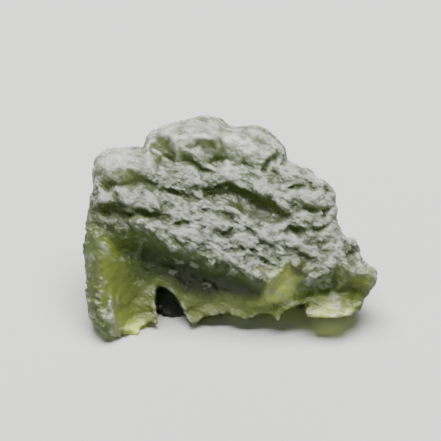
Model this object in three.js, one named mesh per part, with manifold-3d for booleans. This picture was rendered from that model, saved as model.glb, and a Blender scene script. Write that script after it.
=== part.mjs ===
// Raw moldavite: one piece of natural green glass, etched all over into lobes, ledges, grooves and hollows.
// Millimetres, +Z up. It lies on Z = 0, with the middle of its footprint at the origin, facing -Y.
// Its broad face leans back, so the face is laid out on a plane of its own: "across" runs to the right,
// "up" runs up the face and "out" stands square to it. All three are 0 where the toe meets the ground.

import * as THREE from "three";
import { mergeVertices } from "three/addons/utils/BufferGeometryUtils.js";
import Module from "manifold-3d";

const FACE_LEAN = THREE.MathUtils.degToRad(40); // how far above level the broad face looks
const CELL = 0.84; // spacing of the grid on which the surface is drawn
const GRID_LOW = [-20, -5, -26]; // the grid's first corner, as [across, up, out]
const GRID_HIGH = [20, 30, 5]; // and its last
const EVENING = 0.4; // how far each of its corners is then moved towards the middle of its neighbours

const BROW_OUT = 2.4; // how far out the face stands along the brow of the ledge that crosses it
const FACE_SLOPE = 0.2; // how fast it slopes back above the brow, per millimetre
const FACE_BEND = 0.012; // and how fast it bends back further towards the crown
const DROP = 2.6; // how far the face steps back below the brow
const DROP_BY = 2.4; // within this much below it
const LIP_FALL = 1.5; // how much further it falls back towards the lip
const LIP_FALL_FROM = 2; // from this far below the brow
const LIP_FALL_TO = 8; // to this far
const LIP_ROLL = 0.4; // how far the lip's edge stands forward
const LIP_ROLL_BY = 1; // width of that edge
const LIP_THICK = 1.1; // thickness of the glass at the lip
const UNDERCUT = 1.5; // how fast the hollow behind the lip rises as it goes in
const UNDERCUT_BY = 2; // until this far in behind the lip
const LEFT_FALL = 1.1; // how far the face falls back at its left edge
const WARP = 0.6; // how far the forms are shifted about, so that none is a plain oval
const WARP_SIZE = 2.3; // over this distance
const RIM_BEHIND = 2.6; // the widest outline lies this far behind the face
const LET_OUT = 0.4; // how far the outline is let out, to make up for the rounding and the scallops
const BACK_TAPER = 0.085; // how fast the outline draws in behind that, per millimetre
const BACK_OVAL = { at: [-1, 12.5], half: [17.5, 14] }; // the plainer shape that it draws in to
const BACK_OVAL_BY = 9; // how far behind it has all but become that
const BACK_OVAL_SHARE = 0.75; // and how much of that shape it takes on
const RIM_ROUND = 2.4; // roundness of the edge between the face and the rim
const RECESS_WALL = -3.7; // where the back of the hollow below the lip stands at the left, as "out"
const RECESS_RIGHT = 0.7; // how much further in it stands at the right
const RECESS_ROUND = 0.3; // roundness of the lip's edge
const REAR = 26.6; // how far back the piece reaches, from the toe
const REAR_ROUND = 4;
const UNDERSIDE_HOLLOW = 2.2; // how far the underside is hollowed above the ground
const UNDERSIDE_LEVEL = 0.62; // the depth in a scallop at which the underside meets the ground
const UNDERSIDE_SINK = 0.2; // how far it is let down, so that its pads come out broad
const UNDERSIDE_ROUND = 0.8;
const BITE_ROUND = 1.2; // roundness of the edges round the cuts in the far sides
const SCALLOP = 4.4; // usual size of the scallops etched all over
const SCALLOP_STRETCH = 1.6; // how much longer they are along the flow of the glass
const SCALLOP_DEEP = 1.6; // their depth at the back
const SCALLOP_FACE_DEEP = 0.25; // and on the broad face, whose hollows are listed below
const SCALLOP_LEVEL = 0.45; // the depth in a scallop that lies level with the form
const GROUND_BLOCK = [80, 80, 20]; // the block of ground that is cut away below the piece
const FLOW_TURN = THREE.MathUtils.degToRad(-22); // the flow runs down to the right across the face

// The outline of the broad face, clockwise from the left shoulder: [across, up].
const OUTLINE = [
  // left lobe
  [-16.9, 21.2], [-16.6, 22.8], [-15.4, 23.9], [-13.3, 24.1], [-11.4, 24.0], [-10.5, 24.0],
  // top lobe
  [-10.4, 25.3], [-9.6, 26.4], [-6.6, 27.4], [-3.7, 28.1], [-1.5, 28.1], [-0.6, 27.7],
  // right lobe
  [0.2, 27.0], [3.0, 27.0], [4.6, 26.5], [5.9, 25.3], [6.9, 24.1], [7.2, 22.8],
  // right shoulder
  [8.2, 22.1], [10.2, 21.3], [10.9, 20.4], [12.3, 19.7], [13.2, 18.6], [13.4, 17.2], [13.2, 15.8],
  // right steps
  [13.7, 14.1], [14.4, 13.0], [15.7, 12.5], [16.2, 11.2], [16.7, 9.9], [18.0, 8.7], [18.0, 7.6],
  [17.4, 6.1], [16.6, 4.6], [16.1, 2.8], [15.8, -1],
  // below the ground
  [10, -5], [-8, -5],
  // toe
  [-11.8, -1.2], [-13.1, -0.6], [-14.6, 0.3], [-16.1, 1.6], [-16.9, 2.6],
  // left side
  [-17.5, 4.0], [-17.7, 6.3], [-17.8, 9.3], [-17.8, 13.0], [-17.6, 16.0], [-17.3, 18.1], [-16.8, 19.2],
];

// The toothed lower lip of the face, from the toe to the right corner. Below it the glass is hollowed back.
const LIP = [
  [-12.6, -3], [-11.9, 0.3], [-11.4, 1.3], [-11.1, 1.9], [-10.2, 2.3], [-9.1, 2.4],
  // the tall notch
  [-9.35, 3.6], [-9.4, 5.0], [-9.4, 6.6], [-8.9, 7.2], [-7.9, 6.8], [-7.0, 6.0], [-6.0, 4.6], [-5.0, 2.9],
  // teeth and arches
  [-4.4, 2.1], [-3.8, 2.9], [-3.0, 3.4], [-1.5, 3.5], [0.5, 3.4], [2.3, 2.9], [3.9, 3.4], [5.2, 3.4],
  [6.2, 2.8],
  // the small notch
  [7.0, 3.8], [7.8, 4.5], [9.2, 4.6], [10.0, 3.2],
  // right lip
  [13.8, 3.1], [15.4, 3.4], [16.4, 4.1], [19, 5], [19, -3],
];

// The brow of the ledge that crosses the face from the upper left to the lower right, closed far above it.
const LEDGE = [
  [-24, 15.6], [-18, 15.6], [-15, 14.9], [-13, 14.6], [-10.5, 14.0], [-8, 13.0], [-6, 12.1], [-3.5, 11.1],
  [-2, 10.5], [0, 9.7], [2, 8.7], [3.6, 7.4], [4.8, 7.3], [5.6, 8.6], [6.8, 10.0], [8.6, 10.6], [9.9, 9.8],
  [10.3, 8.2], [12, 8.7], [13.8, 9.3], [15.5, 9.2], [18, 8.4], [24, 8.0], [24, 45], [-24, 45],
];

// What stands out of the face, and what is etched into it. at is the middle and half the half sizes, in
// [across, up] before they are turned, and turn is in degrees. A small edge gives a full pillow, 1 a crisp
// rim, and 2 a soft swell.
const LUMPS = [
  { name: "left lobe", at: [-13.9, 21.8], half: [3.3, 2.6], turn: 0, rise: 1.1, edge: 1 },
  { name: "left lobe knuckle", at: [-10.6, 22.0], half: [2.2, 2.0], turn: -20, rise: 0.9, edge: 1 },
  { name: "top lobe", at: [-5.2, 25.6], half: [4.8, 3.0], turn: -6, rise: 1.2, edge: 1 },
  { name: "top lobe shoulder", at: [-1.2, 25.8], half: [3.4, 2.4], turn: 0, rise: 0.6, edge: 1 },
  { name: "right lobe", at: [2.8, 24.6], half: [4.2, 2.7], turn: -28, rise: 1.1, edge: 1 },
  { name: "bar under the lens", at: [-3.6, 22.6], half: [3.4, 0.8], turn: -30, rise: 0.6, edge: 1 },
  { name: "row left", at: [-8.2, 20.6], half: [1.9, 1.2], turn: -15, rise: 0.5, edge: 1 },
  { name: "row middle", at: [-5.0, 20.5], half: [2.3, 1.3], turn: -20, rise: 0.6, edge: 1 },
  { name: "row right", at: [-0.6, 20.9], half: [2.6, 1.0], turn: -25, rise: 0.5, edge: 1 },
  { name: "left edge knob", at: [-15.8, 18.2], half: [1.5, 0.9], turn: 10, rise: 0.6, edge: 1 },
  { name: "left brow", at: [-12.5, 18.0], half: [1.7, 1.5], turn: 10, rise: 0.7, edge: 1 },
  { name: "left brow end", at: [-9.6, 17.6], half: [1.8, 1.1], turn: -15, rise: 0.5, edge: 1 },
  { name: "shoulder crest", at: [7.2, 21.2], half: [2.6, 1.0], turn: -28, rise: 0.6, edge: 1 },
  { name: "shoulder knob", at: [7.2, 18.1], half: [1.6, 1.8], turn: 15, rise: 0.8, edge: 1 },
  { name: "shoulder small knob", at: [4.1, 19.1], half: [1.4, 0.8], turn: -25, rise: 0.5, edge: 1 },
  { name: "shoulder pad", at: [10.7, 18.1], half: [2.2, 1.0], turn: -8, rise: 0.6, edge: 1 },
  { name: "shoulder tip", at: [11.3, 19.9], half: [2.0, 0.9], turn: -25, rise: 0.5, edge: 1 },
  { name: "side pad", at: [9.8, 15.6], half: [1.5, 1.4], turn: -20, rise: 0.5, edge: 1 },
  { name: "ledge left", at: [-9.6, 14.6], half: [2.8, 1.0], turn: -18, rise: 0.3, edge: 1 },
  { name: "ledge middle", at: [-5.4, 12.9], half: [2.4, 0.9], turn: -24, rise: 0.5, edge: 1 },
  { name: "ledge right", at: [0.6, 10.2], half: [3.6, 1.0], turn: -27, rise: 0.3, edge: 1 },
  { name: "ledge nose", at: [4.2, 8.3], half: [1.5, 1.1], turn: -12, rise: 0.6, edge: 1 },
  { name: "flow bar upper", at: [3.4, 14.4], half: [5.4, 0.7], turn: -30, rise: 0.45, edge: 1 },
  { name: "flow bar lower", at: [2.2, 12.4], half: [5.0, 0.6], turn: -34, rise: 0.4, edge: 1 },
  { name: "flow bar side", at: [8.4, 12.4], half: [3.4, 0.9], turn: -22, rise: 0.5, edge: 1 },
  { name: "right ledge", at: [12.9, 10.0], half: [3.0, 0.8], turn: 6, rise: 0.3, edge: 1 },
  { name: "spur knob", at: [8.9, 9.7], half: [1.5, 1.3], turn: -35, rise: 0.7, edge: 0.8 },
  { name: "spur", at: [7.2, 7.2], half: [4.2, 2.6], turn: 42, rise: 1.2, edge: 1.3 },
  { name: "spur tail", at: [4.8, 5.6], half: [3.4, 1.3], turn: 12, rise: 0.5, edge: 1.4 },
  { name: "right lip", at: [13.0, 3.2], half: [3.6, 1.6], turn: 2, rise: 0.9, edge: 1 },
  { name: "foot edge", at: [-12.0, 1.2], half: [1.6, 1.8], turn: -30, rise: 0.8, edge: 1 },
  { name: "left rim bar", at: [-16.4, 10.0], half: [1.6, 7.5], turn: 0, rise: 0.3, edge: 1.2 },
  { name: "toe bar", at: [-14.8, 4.6], half: [0.6, 2.2], turn: 14, rise: 0.5, edge: 1 },
  { name: "toe", at: [-15.2, 2.4], half: [2.6, 1.8], turn: -20, rise: 0.5, edge: 1.2 },
];
const HOLLOWS = [
  { name: "great hollow", at: [-4.6, 8.0], half: [9.6, 4.0], turn: -18, deep: 0.9, edge: 1.3 },
  { name: "swirl", at: [-11.8, 11.9], half: [3.2, 2.2], turn: 12, deep: 0.8, edge: 1 },
  { name: "long groove", at: [2.4, 17.5], half: [6.6, 1.5], turn: -16, deep: 1.4, edge: 1 },
  { name: "long groove belly", at: [5.6, 16.8], half: [2.8, 1.2], turn: -10, deep: 0.5, edge: 1 },
  { name: "lens", at: [-2.0, 23.4], half: [2.8, 1.0], turn: -34, deep: 0.7, edge: 1 },
  { name: "top lobe cheek", at: [-8.7, 24.4], half: [1.6, 2.6], turn: 14, deep: 0.9, edge: 1.2 },
  { name: "left crease", at: [-7.8, 22.6], half: [0.7, 1.2], turn: 25, deep: 0.5, edge: 1 },
  { name: "bar crease", at: [-4.4, 21.8], half: [2.2, 0.5], turn: -28, deep: 0.5, edge: 1 },
  { name: "right crease", at: [5.4, 22.8], half: [2.1, 0.6], turn: 50, deep: 0.8, edge: 1 },
  { name: "right pit", at: [4.2, 21.2], half: [0.6, 0.6], turn: 0, deep: 0.5, edge: 1 },
  { name: "shoulder crease", at: [8.6, 19.1], half: [3.4, 0.4], turn: -4, deep: 0.5, edge: 1 },
  { name: "shoulder low crease", at: [10.4, 17.0], half: [2.2, 0.5], turn: -8, deep: 0.6, edge: 1 },
  { name: "side nick", at: [12.6, 16.4], half: [1.2, 0.5], turn: 20, deep: 0.6, edge: 1 },
  { name: "side low nick", at: [11.8, 14.6], half: [1.4, 0.5], turn: 15, deep: 0.5, edge: 1 },
  { name: "left dent", at: [-15.3, 19.6], half: [1.5, 0.9], turn: -15, deep: 0.7, edge: 1 },
  { name: "left gash", at: [-14.8, 16.2], half: [2.8, 1.2], turn: -20, deep: 1.1, edge: 1 },
  { name: "brow gash", at: [-11.0, 15.9], half: [2.8, 0.8], turn: 8, deep: 0.8, edge: 1 },
  { name: "middle crease", at: [-6.2, 18.5], half: [3.0, 0.6], turn: -16, deep: 0.6, edge: 1 },
  { name: "eye pit", at: [-5.8, 14.6], half: [1.1, 0.5], turn: 18, deep: 0.5, edge: 1 },
  { name: "twin pit", at: [-0.6, 13.7], half: [1.5, 0.6], turn: 14, deep: 0.6, edge: 1 },
  { name: "flow groove upper", at: [-1.6, 15.8], half: [3.4, 0.5], turn: -20, deep: 0.4, edge: 1 },
  { name: "flow groove lower", at: [3.6, 11.2], half: [3.2, 0.5], turn: -38, deep: 0.4, edge: 1 },
  { name: "side hollow", at: [8.9, 14.0], half: [1.6, 0.8], turn: -18, deep: 0.5, edge: 1 },
  { name: "right facet", at: [15.2, 11.2], half: [1.2, 1.8], turn: 16, deep: 0.7, edge: 1 },
  { name: "flank", at: [12.4, 7.0], half: [3.4, 1.9], turn: 16, deep: 1.0, edge: 1 },
  { name: "right corner", at: [16.0, 6.4], half: [2.6, 2.0], turn: 40, deep: 0.8, edge: 1 },
  { name: "spur foot", at: [2.6, 6.6], half: [1.8, 0.8], turn: -20, deep: 0.4, edge: 1 },
];

// Cuts into the piece's far sides, as balls pressed in and stretched: at and half are [right, back, high].
const BITES = [
  { name: "rear left", at: [-14.5, 27.0, 7.0], half: [7.0, 5.5, 5.0] },
  { name: "rear right", at: [9.0, 29.5, 6.5], half: [8.0, 6.0, 5.0] },
  { name: "rear top", at: [-3.0, 30.0, 15.0], half: [6.0, 5.5, 4.0] },
  { name: "left flank", at: [-23.0, 15.0, 4.0], half: [6.5, 7.0, 4.5] },
  { name: "right flank", at: [20.5, 16.0, 3.0], half: [6.5, 7.0, 5.0] },
];

// A closed smooth line through the given points.
function smoothLine(points) {
  const corners = points.map(([x, y]) => new THREE.Vector3(x, y, 0));
  const line = new THREE.CatmullRomCurve3(corners, true, "catmullrom", 0.5);
  return line.getPoints(points.length * 4).map((p) => [p.x, p.y]);
}

// How far a place on the face plane is outside a closed line. It is negative inside.
function outside(line, x, y) {
  let nearest = Infinity;
  let inside = false;
  for (let i = 0, j = line.length - 1; i < line.length; j = i++) {
    const [ax, ay] = line[i];
    const [bx, by] = line[j];
    const along = ((x - ax) * (bx - ax) + (y - ay) * (by - ay)) / ((bx - ax) ** 2 + (by - ay) ** 2 || 1);
    const t = THREE.MathUtils.clamp(along, 0, 1);
    nearest = Math.min(nearest, Math.hypot(x - ax - t * (bx - ax), y - ay - t * (by - ay)));
    if (ay > y !== by > y && x < ax + ((y - ay) / (by - ay)) * (bx - ax)) inside = !inside;
  }
  return inside ? -nearest : nearest;
}

// The larger of two values, with a rounded change from one to the other.
function roundedMax(a, b, round) {
  const near = Math.max(round - Math.abs(a - b), 0) / round;
  return Math.max(a, b) + (near * near * round) / 4;
}

// The share of a lump or hollow that is felt at a place on the face: 1 in its middle and 0 from its rim.
function shareOf({ at, half, turn, edge }, x, y) {
  const angle = THREE.MathUtils.degToRad(turn);
  const dx = x - at[0];
  const dy = y - at[1];
  const along = (dx * Math.cos(angle) + dy * Math.sin(angle)) / half[0];
  const over = (dy * Math.cos(angle) - dx * Math.sin(angle)) / half[1];
  return Math.max(1 - along * along - over * over, 0) ** edge;
}

// A repeatable number from 0 to 1 for a cell of a pattern.
function chance(i, j, k, salt) {
  let n = Math.imul(i, 374761393) + Math.imul(j, 668265263);
  n += Math.imul(k, 1274126177) + Math.imul(salt, 2654435);
  n = Math.imul(n ^ (n >>> 13), 1103515245);
  n = Math.imul(n ^ (n >>> 16), 1274126177);
  return ((n ^ (n >>> 15)) >>> 0) / 2 ** 32;
}

// Soft noise from -1 to 1 over the face plane. The salt picks one of its many patterns.
function softNoise(x, y, size, salt) {
  const [i, j] = [Math.floor(x / size), Math.floor(y / size)];
  const [s, t] = [x / size - i, y / size - j].map((v) => v * v * (3 - 2 * v));
  const low = THREE.MathUtils.lerp(chance(i, j, 0, salt), chance(i + 1, j, 0, salt), s);
  const high = THREE.MathUtils.lerp(chance(i, j + 1, 0, salt), chance(i + 1, j + 1, 0, salt), s);
  return THREE.MathUtils.lerp(low, high, t) * 2 - 1;
}

// How far out the broad face stands at a place on it.
function relief(across, up) {
  const x = across + WARP * softNoise(across, up, WARP_SIZE, 71);
  const y = up + WARP * softNoise(across, up, WARP_SIZE, 72);
  const beyond = outside(LEDGE, x, y);
  const above = Math.max(-beyond, 0);
  const below = Math.max(beyond, 0);
  const { smoothstep } = THREE.MathUtils;
  let out = BROW_OUT - FACE_SLOPE * above - FACE_BEND * above ** 2;
  const share = smoothstep(across, -16.5, -11.5) * (1 - 0.45 * smoothstep(across, 4, 8));
  const fall = LIP_FALL * smoothstep(below, LIP_FALL_FROM, LIP_FALL_TO);
  out -= share * (DROP * smoothstep(below, 0, DROP_BY) + fall);
  out -= LEFT_FALL * smoothstep(-across, 12.5, 18) * (1 - smoothstep(up, 14, 19));
  for (const lump of LUMPS) out += lump.rise * shareOf(lump, x, y);
  for (const hollow of HOLLOWS) out -= hollow.deep * shareOf(hollow, x, y);
  return out;
}

// The scallops: bowls round scattered middles that meet in sharp ridges. 1 is a middle and 0 a ridge.
function scallop(x, y, z) {
  const along = (x * Math.cos(FLOW_TURN) + y * Math.sin(FLOW_TURN)) / (SCALLOP * SCALLOP_STRETCH);
  const over = (y * Math.cos(FLOW_TURN) - x * Math.sin(FLOW_TURN)) / SCALLOP;
  const deep = z / SCALLOP;
  const cell = [along, over, deep].map(Math.floor);
  let nearest = 1;
  for (let i = cell[0] - 1; i <= cell[0] + 1; i++)
    for (let j = cell[1] - 1; j <= cell[1] + 1; j++)
      for (let k = cell[2] - 1; k <= cell[2] + 1; k++) {
        const dx = i + chance(i, j, k, 1) - along;
        const dy = j + chance(i, j, k, 2) - over;
        const dz = k + chance(i, j, k, 3) - deep;
        nearest = Math.min(nearest, dx * dx + dy * dy + dz * dz);
      }
  return 1 - nearest;
}

// The face plane's [across, up, out] as the piece's own [right, back, high].
function standing([across, up, out]) {
  return [
    across,
    up * Math.sin(FACE_LEAN) - out * Math.cos(FACE_LEAN),
    up * Math.cos(FACE_LEAN) + out * Math.sin(FACE_LEAN),
  ];
}

const outline = smoothLine(OUTLINE);

// How far a place, in [across, up, out], is outside the glass. It is negative inside.
function glass(across, up, out, plane) {
  const [right, back, high] = standing([across, up, out]);
  const behind = Math.max(plane.relief - RIM_BEHIND - out, 0);
  const oval = Math.hypot(...[across, up].map((v, k) => (v - BACK_OVAL.at[k]) / BACK_OVAL.half[k])) - 1;
  const plainness = BACK_OVAL_SHARE * THREE.MathUtils.smoothstep(behind, 0, BACK_OVAL_BY);
  const side = THREE.MathUtils.lerp(plane.outline - LET_OUT, oval * BACK_OVAL.half[1], plainness);
  const roll = LIP_ROLL * THREE.MathUtils.clamp(1 - Math.abs(plane.lip) / LIP_ROLL_BY, 0, 1) ** 2;
  let gap = roundedMax(out - plane.relief - roll, side + BACK_TAPER * behind ** 2, RIM_ROUND);
  gap = roundedMax(gap, back - REAR, REAR_ROUND);
  const underside = UNDERSIDE_HOLLOW * (scallop(right + 40, back, 0) - UNDERSIDE_LEVEL) - UNDERSIDE_SINK;
  gap = roundedMax(gap, underside - high, UNDERSIDE_ROUND);
  for (const { at, half } of BITES) {
    const reach = Math.hypot(...[right, back, high].map((v, k) => (v - at[k]) / half[k]));
    gap = roundedMax(gap, (1 - reach) * Math.min(...half), BITE_ROUND);
  }
  const lip = plane.lip - UNDERCUT * THREE.MathUtils.clamp(plane.relief - out - LIP_THICK, 0, UNDERCUT_BY);
  const wall = RECESS_WALL - RECESS_RIGHT * THREE.MathUtils.smoothstep(across, -7, 1);
  gap = roundedMax(gap, Math.min(-lip, out - wall), RECESS_ROUND);
  const rough = THREE.MathUtils.smoothstep(behind, 0, 3);
  const deep = THREE.MathUtils.lerp(SCALLOP_FACE_DEEP, SCALLOP_DEEP, rough);
  return gap + deep * (scallop(across, up, out) - SCALLOP_LEVEL);
}

// Adds glass where the corners of a square of the grid lie in and out by turns, which would pinch it.
function joinPinches(values, stride) {
  for (let found = true; found; ) {
    found = false;
    for (let here = 0; here < values.length - stride[1] - stride[2]; here++)
      for (const [s, t] of [[stride[0], stride[1]], [stride[1], stride[2]], [stride[2], stride[0]]]) {
        const square = [here, here + s, here + s + t, here + t];
        const [a, b, c, d] = square.map((at) => values[at] < 0);
        if (a !== c || b !== d || a === b) continue;
        const outer = square.filter((at) => values[at] >= 0);
        values[values[outer[0]] < values[outer[1]] ? outer[0] : outer[1]] = -1e-3;
        found = true;
      }
  }
}

// The corners of a surface, each moved some way towards the middle of its neighbours.
function evened(positions, faces) {
  const total = new Float64Array(positions.length);
  const number = new Float64Array(positions.length / 3);
  faces.forEach((corner, k) => {
    const next = k % 3 === 2 ? faces[k - 2] : faces[k + 1];
    for (let axis = 0; axis < 3; axis++) total[3 * corner + axis] += positions[3 * next + axis];
    number[corner]++;
  });
  const middle = total.map((v, k) => v / number[Math.floor(k / 3)]);
  return positions.map((v, k) => THREE.MathUtils.lerp(v, middle[k], EVENING));
}

// Draws the surface where a field of values crosses zero: one corner in each cell of the grid that it
// crosses, and one four-sided face round each line of the grid that it crosses.
function drawSurface(valueAt) {
  const low = GRID_LOW;
  const counts = low.map((v, k) => Math.ceil((GRID_HIGH[k] - v) / CELL) + 1);
  const stride = [1, counts[0], counts[0] * counts[1]];
  const values = new Float64Array(counts[0] * counts[1] * counts[2]);
  for (let j = 0; j < counts[1]; j++)
    for (let i = 0; i < counts[0]; i++) {
      const across = low[0] + i * CELL;
      const up = low[1] + j * CELL;
      const plane = {
        relief: relief(across, up),
        outline: outside(outline, across, up),
        lip: outside(LIP, across, up),
      };
      for (let k = 0; k < counts[2]; k++)
        values[i + j * stride[1] + k * stride[2]] = valueAt(across, up, low[2] + k * CELL, plane);
    }

  joinPinches(values, stride);
  const positions = [];
  const cornerOf = new Map();
  const corners = [0, 1, 2, 3, 4, 5, 6, 7].map((c) => [c & 1, (c >> 1) & 1, (c >> 2) & 1]);
  const offsetOf = ([i, j, k]) => i * stride[0] + j * stride[1] + k * stride[2];
  const edges = corners.flatMap((from) =>
    [0, 1, 2].filter((axis) => !from[axis]).map((axis) => [from, from.map((v, k) => (k === axis ? 1 : v))]),
  );
  for (let k = 0; k < counts[2] - 1; k++)
    for (let j = 0; j < counts[1] - 1; j++)
      for (let i = 0; i < counts[0] - 1; i++) {
        const here = offsetOf([i, j, k]);
        const middle = [0, 0, 0];
        let crossings = 0;
        for (const [from, to] of edges) {
          const a = values[here + offsetOf(from)];
          const b = values[here + offsetOf(to)];
          if (a < 0 === b < 0) continue;
          const t = a / (a - b);
          from.forEach((v, axis) => (middle[axis] += v + t * (to[axis] - v)));
          crossings++;
        }
        if (!crossings) continue;
        cornerOf.set(here, positions.length / 3);
        const place = middle.map((v, axis) => low[axis] + ([i, j, k][axis] + v / crossings) * CELL);
        positions.push(...standing(place));
      }

  const apart = (a, b) => Math.hypot(...[0, 1, 2].map((k) => positions[3 * a + k] - positions[3 * b + k]));
  const faces = [];
  for (const here of cornerOf.keys())
    for (let axis = 0; axis < 3; axis++) {
      const [s, t] = [stride[(axis + 1) % 3], stride[(axis + 2) % 3]];
      const inside = values[here] < 0;
      if (inside === values[here + stride[axis]] < 0) continue;
      const square = [here, here - s, here - s - t, here - t].map((cell) => cornerOf.get(cell));
      const [a, b, c, d] = inside ? square : square.reverse();
      faces.push(...(apart(a, c) < apart(b, d) ? [a, b, c, a, c, d] : [a, b, d, b, c, d]));
    }
  const geometry = new THREE.BufferGeometry();
  geometry.setAttribute("position", new THREE.Float32BufferAttribute(evened(positions, faces), 3));
  geometry.setIndex(faces);
  return geometry;
}

const wasm = await Module();
wasm.setup();

// A closed solid of a surface, with the corners that lie together joined.
function solidOf(geometry) {
  const bare = new THREE.BufferGeometry();
  bare.setAttribute("position", geometry.getAttribute("position"));
  bare.setIndex(geometry.getIndex());
  const merged = mergeVertices(bare, 1e-4);
  const vertProperties = merged.getAttribute("position").array;
  const triVerts = new Uint32Array(merged.index.array);
  return new wasm.Manifold(new wasm.Mesh({ numProp: 3, vertProperties, triVerts }));
}

// The surface of a solid.
function geometryOf(solid) {
  const { vertProperties, triVerts } = solid.getMesh();
  const geometry = new THREE.BufferGeometry();
  geometry.setAttribute("position", new THREE.BufferAttribute(vertProperties, 3));
  geometry.setIndex(new THREE.BufferAttribute(triVerts, 1));
  return geometry;
}

// The piece, with what would reach below the ground cut off flat, which leaves the pads that it rests on.
function moldavite() {
  const raw = solidOf(drawSurface(glass));
  const block = new THREE.BoxGeometry(...GROUND_BLOCK).translate(0, 0, -GROUND_BLOCK[2] / 2);
  const ground = solidOf(block);
  const geometry = geometryOf(raw.subtract(ground));
  geometry.computeBoundingBox();
  const middle = geometry.boundingBox.getCenter(new THREE.Vector3());
  geometry.translate(-middle.x, -middle.y, 0);
  geometry.computeVertexNormals();
  const material = new THREE.MeshStandardMaterial({ color: 0x7f8f5c, roughness: 0.45, metalness: 0 });
  const mesh = new THREE.Mesh(geometry, material);
  mesh.name = "moldavite";
  return mesh;
}

const piece = new THREE.Group();
piece.add(moldavite());

export default piece;
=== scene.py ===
"""A raw moldavite: one uncut piece of olive-green natural glass, lobed, grooved and etched all over."""

import logging
import math
from dataclasses import dataclass, field
from enum import Enum

import bpy
import numpy as np
from mathutils import Matrix, Vector
from mathutils.bvhtree import BVHTree

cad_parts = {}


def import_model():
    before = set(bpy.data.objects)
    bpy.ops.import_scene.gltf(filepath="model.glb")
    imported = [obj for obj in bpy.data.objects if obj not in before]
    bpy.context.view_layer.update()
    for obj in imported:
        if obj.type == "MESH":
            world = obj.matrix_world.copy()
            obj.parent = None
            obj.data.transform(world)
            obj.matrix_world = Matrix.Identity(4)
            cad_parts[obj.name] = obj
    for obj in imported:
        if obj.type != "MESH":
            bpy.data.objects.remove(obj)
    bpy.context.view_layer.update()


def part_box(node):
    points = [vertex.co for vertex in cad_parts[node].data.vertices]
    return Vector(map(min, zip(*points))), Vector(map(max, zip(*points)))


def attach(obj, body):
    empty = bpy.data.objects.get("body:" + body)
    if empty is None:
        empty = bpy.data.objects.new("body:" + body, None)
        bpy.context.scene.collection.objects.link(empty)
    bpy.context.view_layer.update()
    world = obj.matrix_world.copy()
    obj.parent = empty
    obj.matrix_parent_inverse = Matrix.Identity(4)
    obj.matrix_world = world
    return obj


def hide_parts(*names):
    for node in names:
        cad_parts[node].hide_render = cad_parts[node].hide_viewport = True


log = logging.getLogger("moldavite")
MM = 0.001
MOST_CALM = 0.7
Colour = tuple[float, float, float]
Span = tuple[float, float]
Socket = bpy.types.NodeSocket


class Mark(Enum):
    """What each corner of the skin is marked with, from 0 to 1, apart from frost and sheen, which may be
    below 0.

    Frost and sheen is how frosted it is, with painted sheen on the upper face and painted highlights, cave
    shade the painted shade on the wall behind the lip, glow the painted glow where the glass is thin, shade
    the painted shade in hollows, creases and over deep glass, calm the lack of fine relief, sheen film the
    painted sheen above the ledge, and free how clear it is of the ground.
    """

    FROST_AND_SHEEN = "frost_and_sheen"
    CAVE_SHADE = "cave_shade"
    GLOW = "glow"
    SHADE = "shade"
    CALM = "calm"
    SHEEN_FILM = "sheen_film"
    FREE = "free"


@dataclass(frozen=True)
class Pad:
    """A place on the broad face that stands out or is etched in.

    Args:
        name: What the place is called.
        at: Its middle, as (across, up) on the face, in mm.
        half: Its half sizes before it is turned, in mm.
        turn: How far it is turned, in degrees, counter-clockwise.
        rise: How far it stands out in mm. It is negative for a hollow.
        edge: 1 gives a crisp rim and 2 a soft swell.
    """

    name: str
    at: tuple[float, float]
    half: tuple[float, float]
    turn: float
    rise: float
    edge: float = 1.0

    def share(self, across: np.ndarray, up: np.ndarray) -> np.ndarray:
        """Works out how much of the rise is felt.

        Args:
            across: The places' first coordinates, in mm.
            up: Their second ones.

        Returns:
            The share at each place, from 1 in the middle to 0 outside.
        """
        angle = math.radians(self.turn)
        dx, dy = across - self.at[0], up - self.at[1]
        along = (dx * math.cos(angle) + dy * math.sin(angle)) / self.half[0]
        over = (dy * math.cos(angle) - dx * math.sin(angle)) / self.half[1]
        return np.maximum(1 - along**2 - over**2, 0) ** self.edge


# Clockwise from the left shoulder: left lobe, top lobe, right lobe, right shoulder, right steps, what lies
# below the ground, toe and left side.
OUTLINE = (
    (-16.9, 21.2), (-16.6, 22.8), (-15.4, 23.9), (-13.3, 24.1), (-11.4, 24.0), (-10.5, 24.0),
    (-10.4, 25.3), (-9.6, 26.4), (-6.6, 27.4), (-3.7, 28.1), (-1.5, 28.1), (-0.6, 27.7),
    (0.2, 27.0), (3.0, 27.0), (4.6, 26.5), (5.9, 25.3), (6.9, 24.1), (7.2, 22.8),
    (8.2, 22.1), (10.2, 21.3), (10.9, 20.4), (12.3, 19.7), (13.2, 18.6), (13.4, 17.2), (13.2, 15.8),
    (13.7, 14.1), (14.4, 13.0), (15.7, 12.5), (16.2, 11.2), (16.7, 9.9), (18.0, 8.7), (18.0, 7.6),
    (17.4, 6.1), (16.6, 4.6), (16.1, 2.8), (15.8, -1),
    (10, -5), (-8, -5),
    (-11.8, -1.2), (-13.1, -0.6), (-14.6, 0.3), (-16.1, 1.6), (-16.9, 2.6),
    (-17.5, 4.0), (-17.7, 6.3), (-17.8, 9.3), (-17.8, 13.0), (-17.6, 16.0), (-17.3, 18.1), (-16.8, 19.2),
)  # fmt: skip

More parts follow.
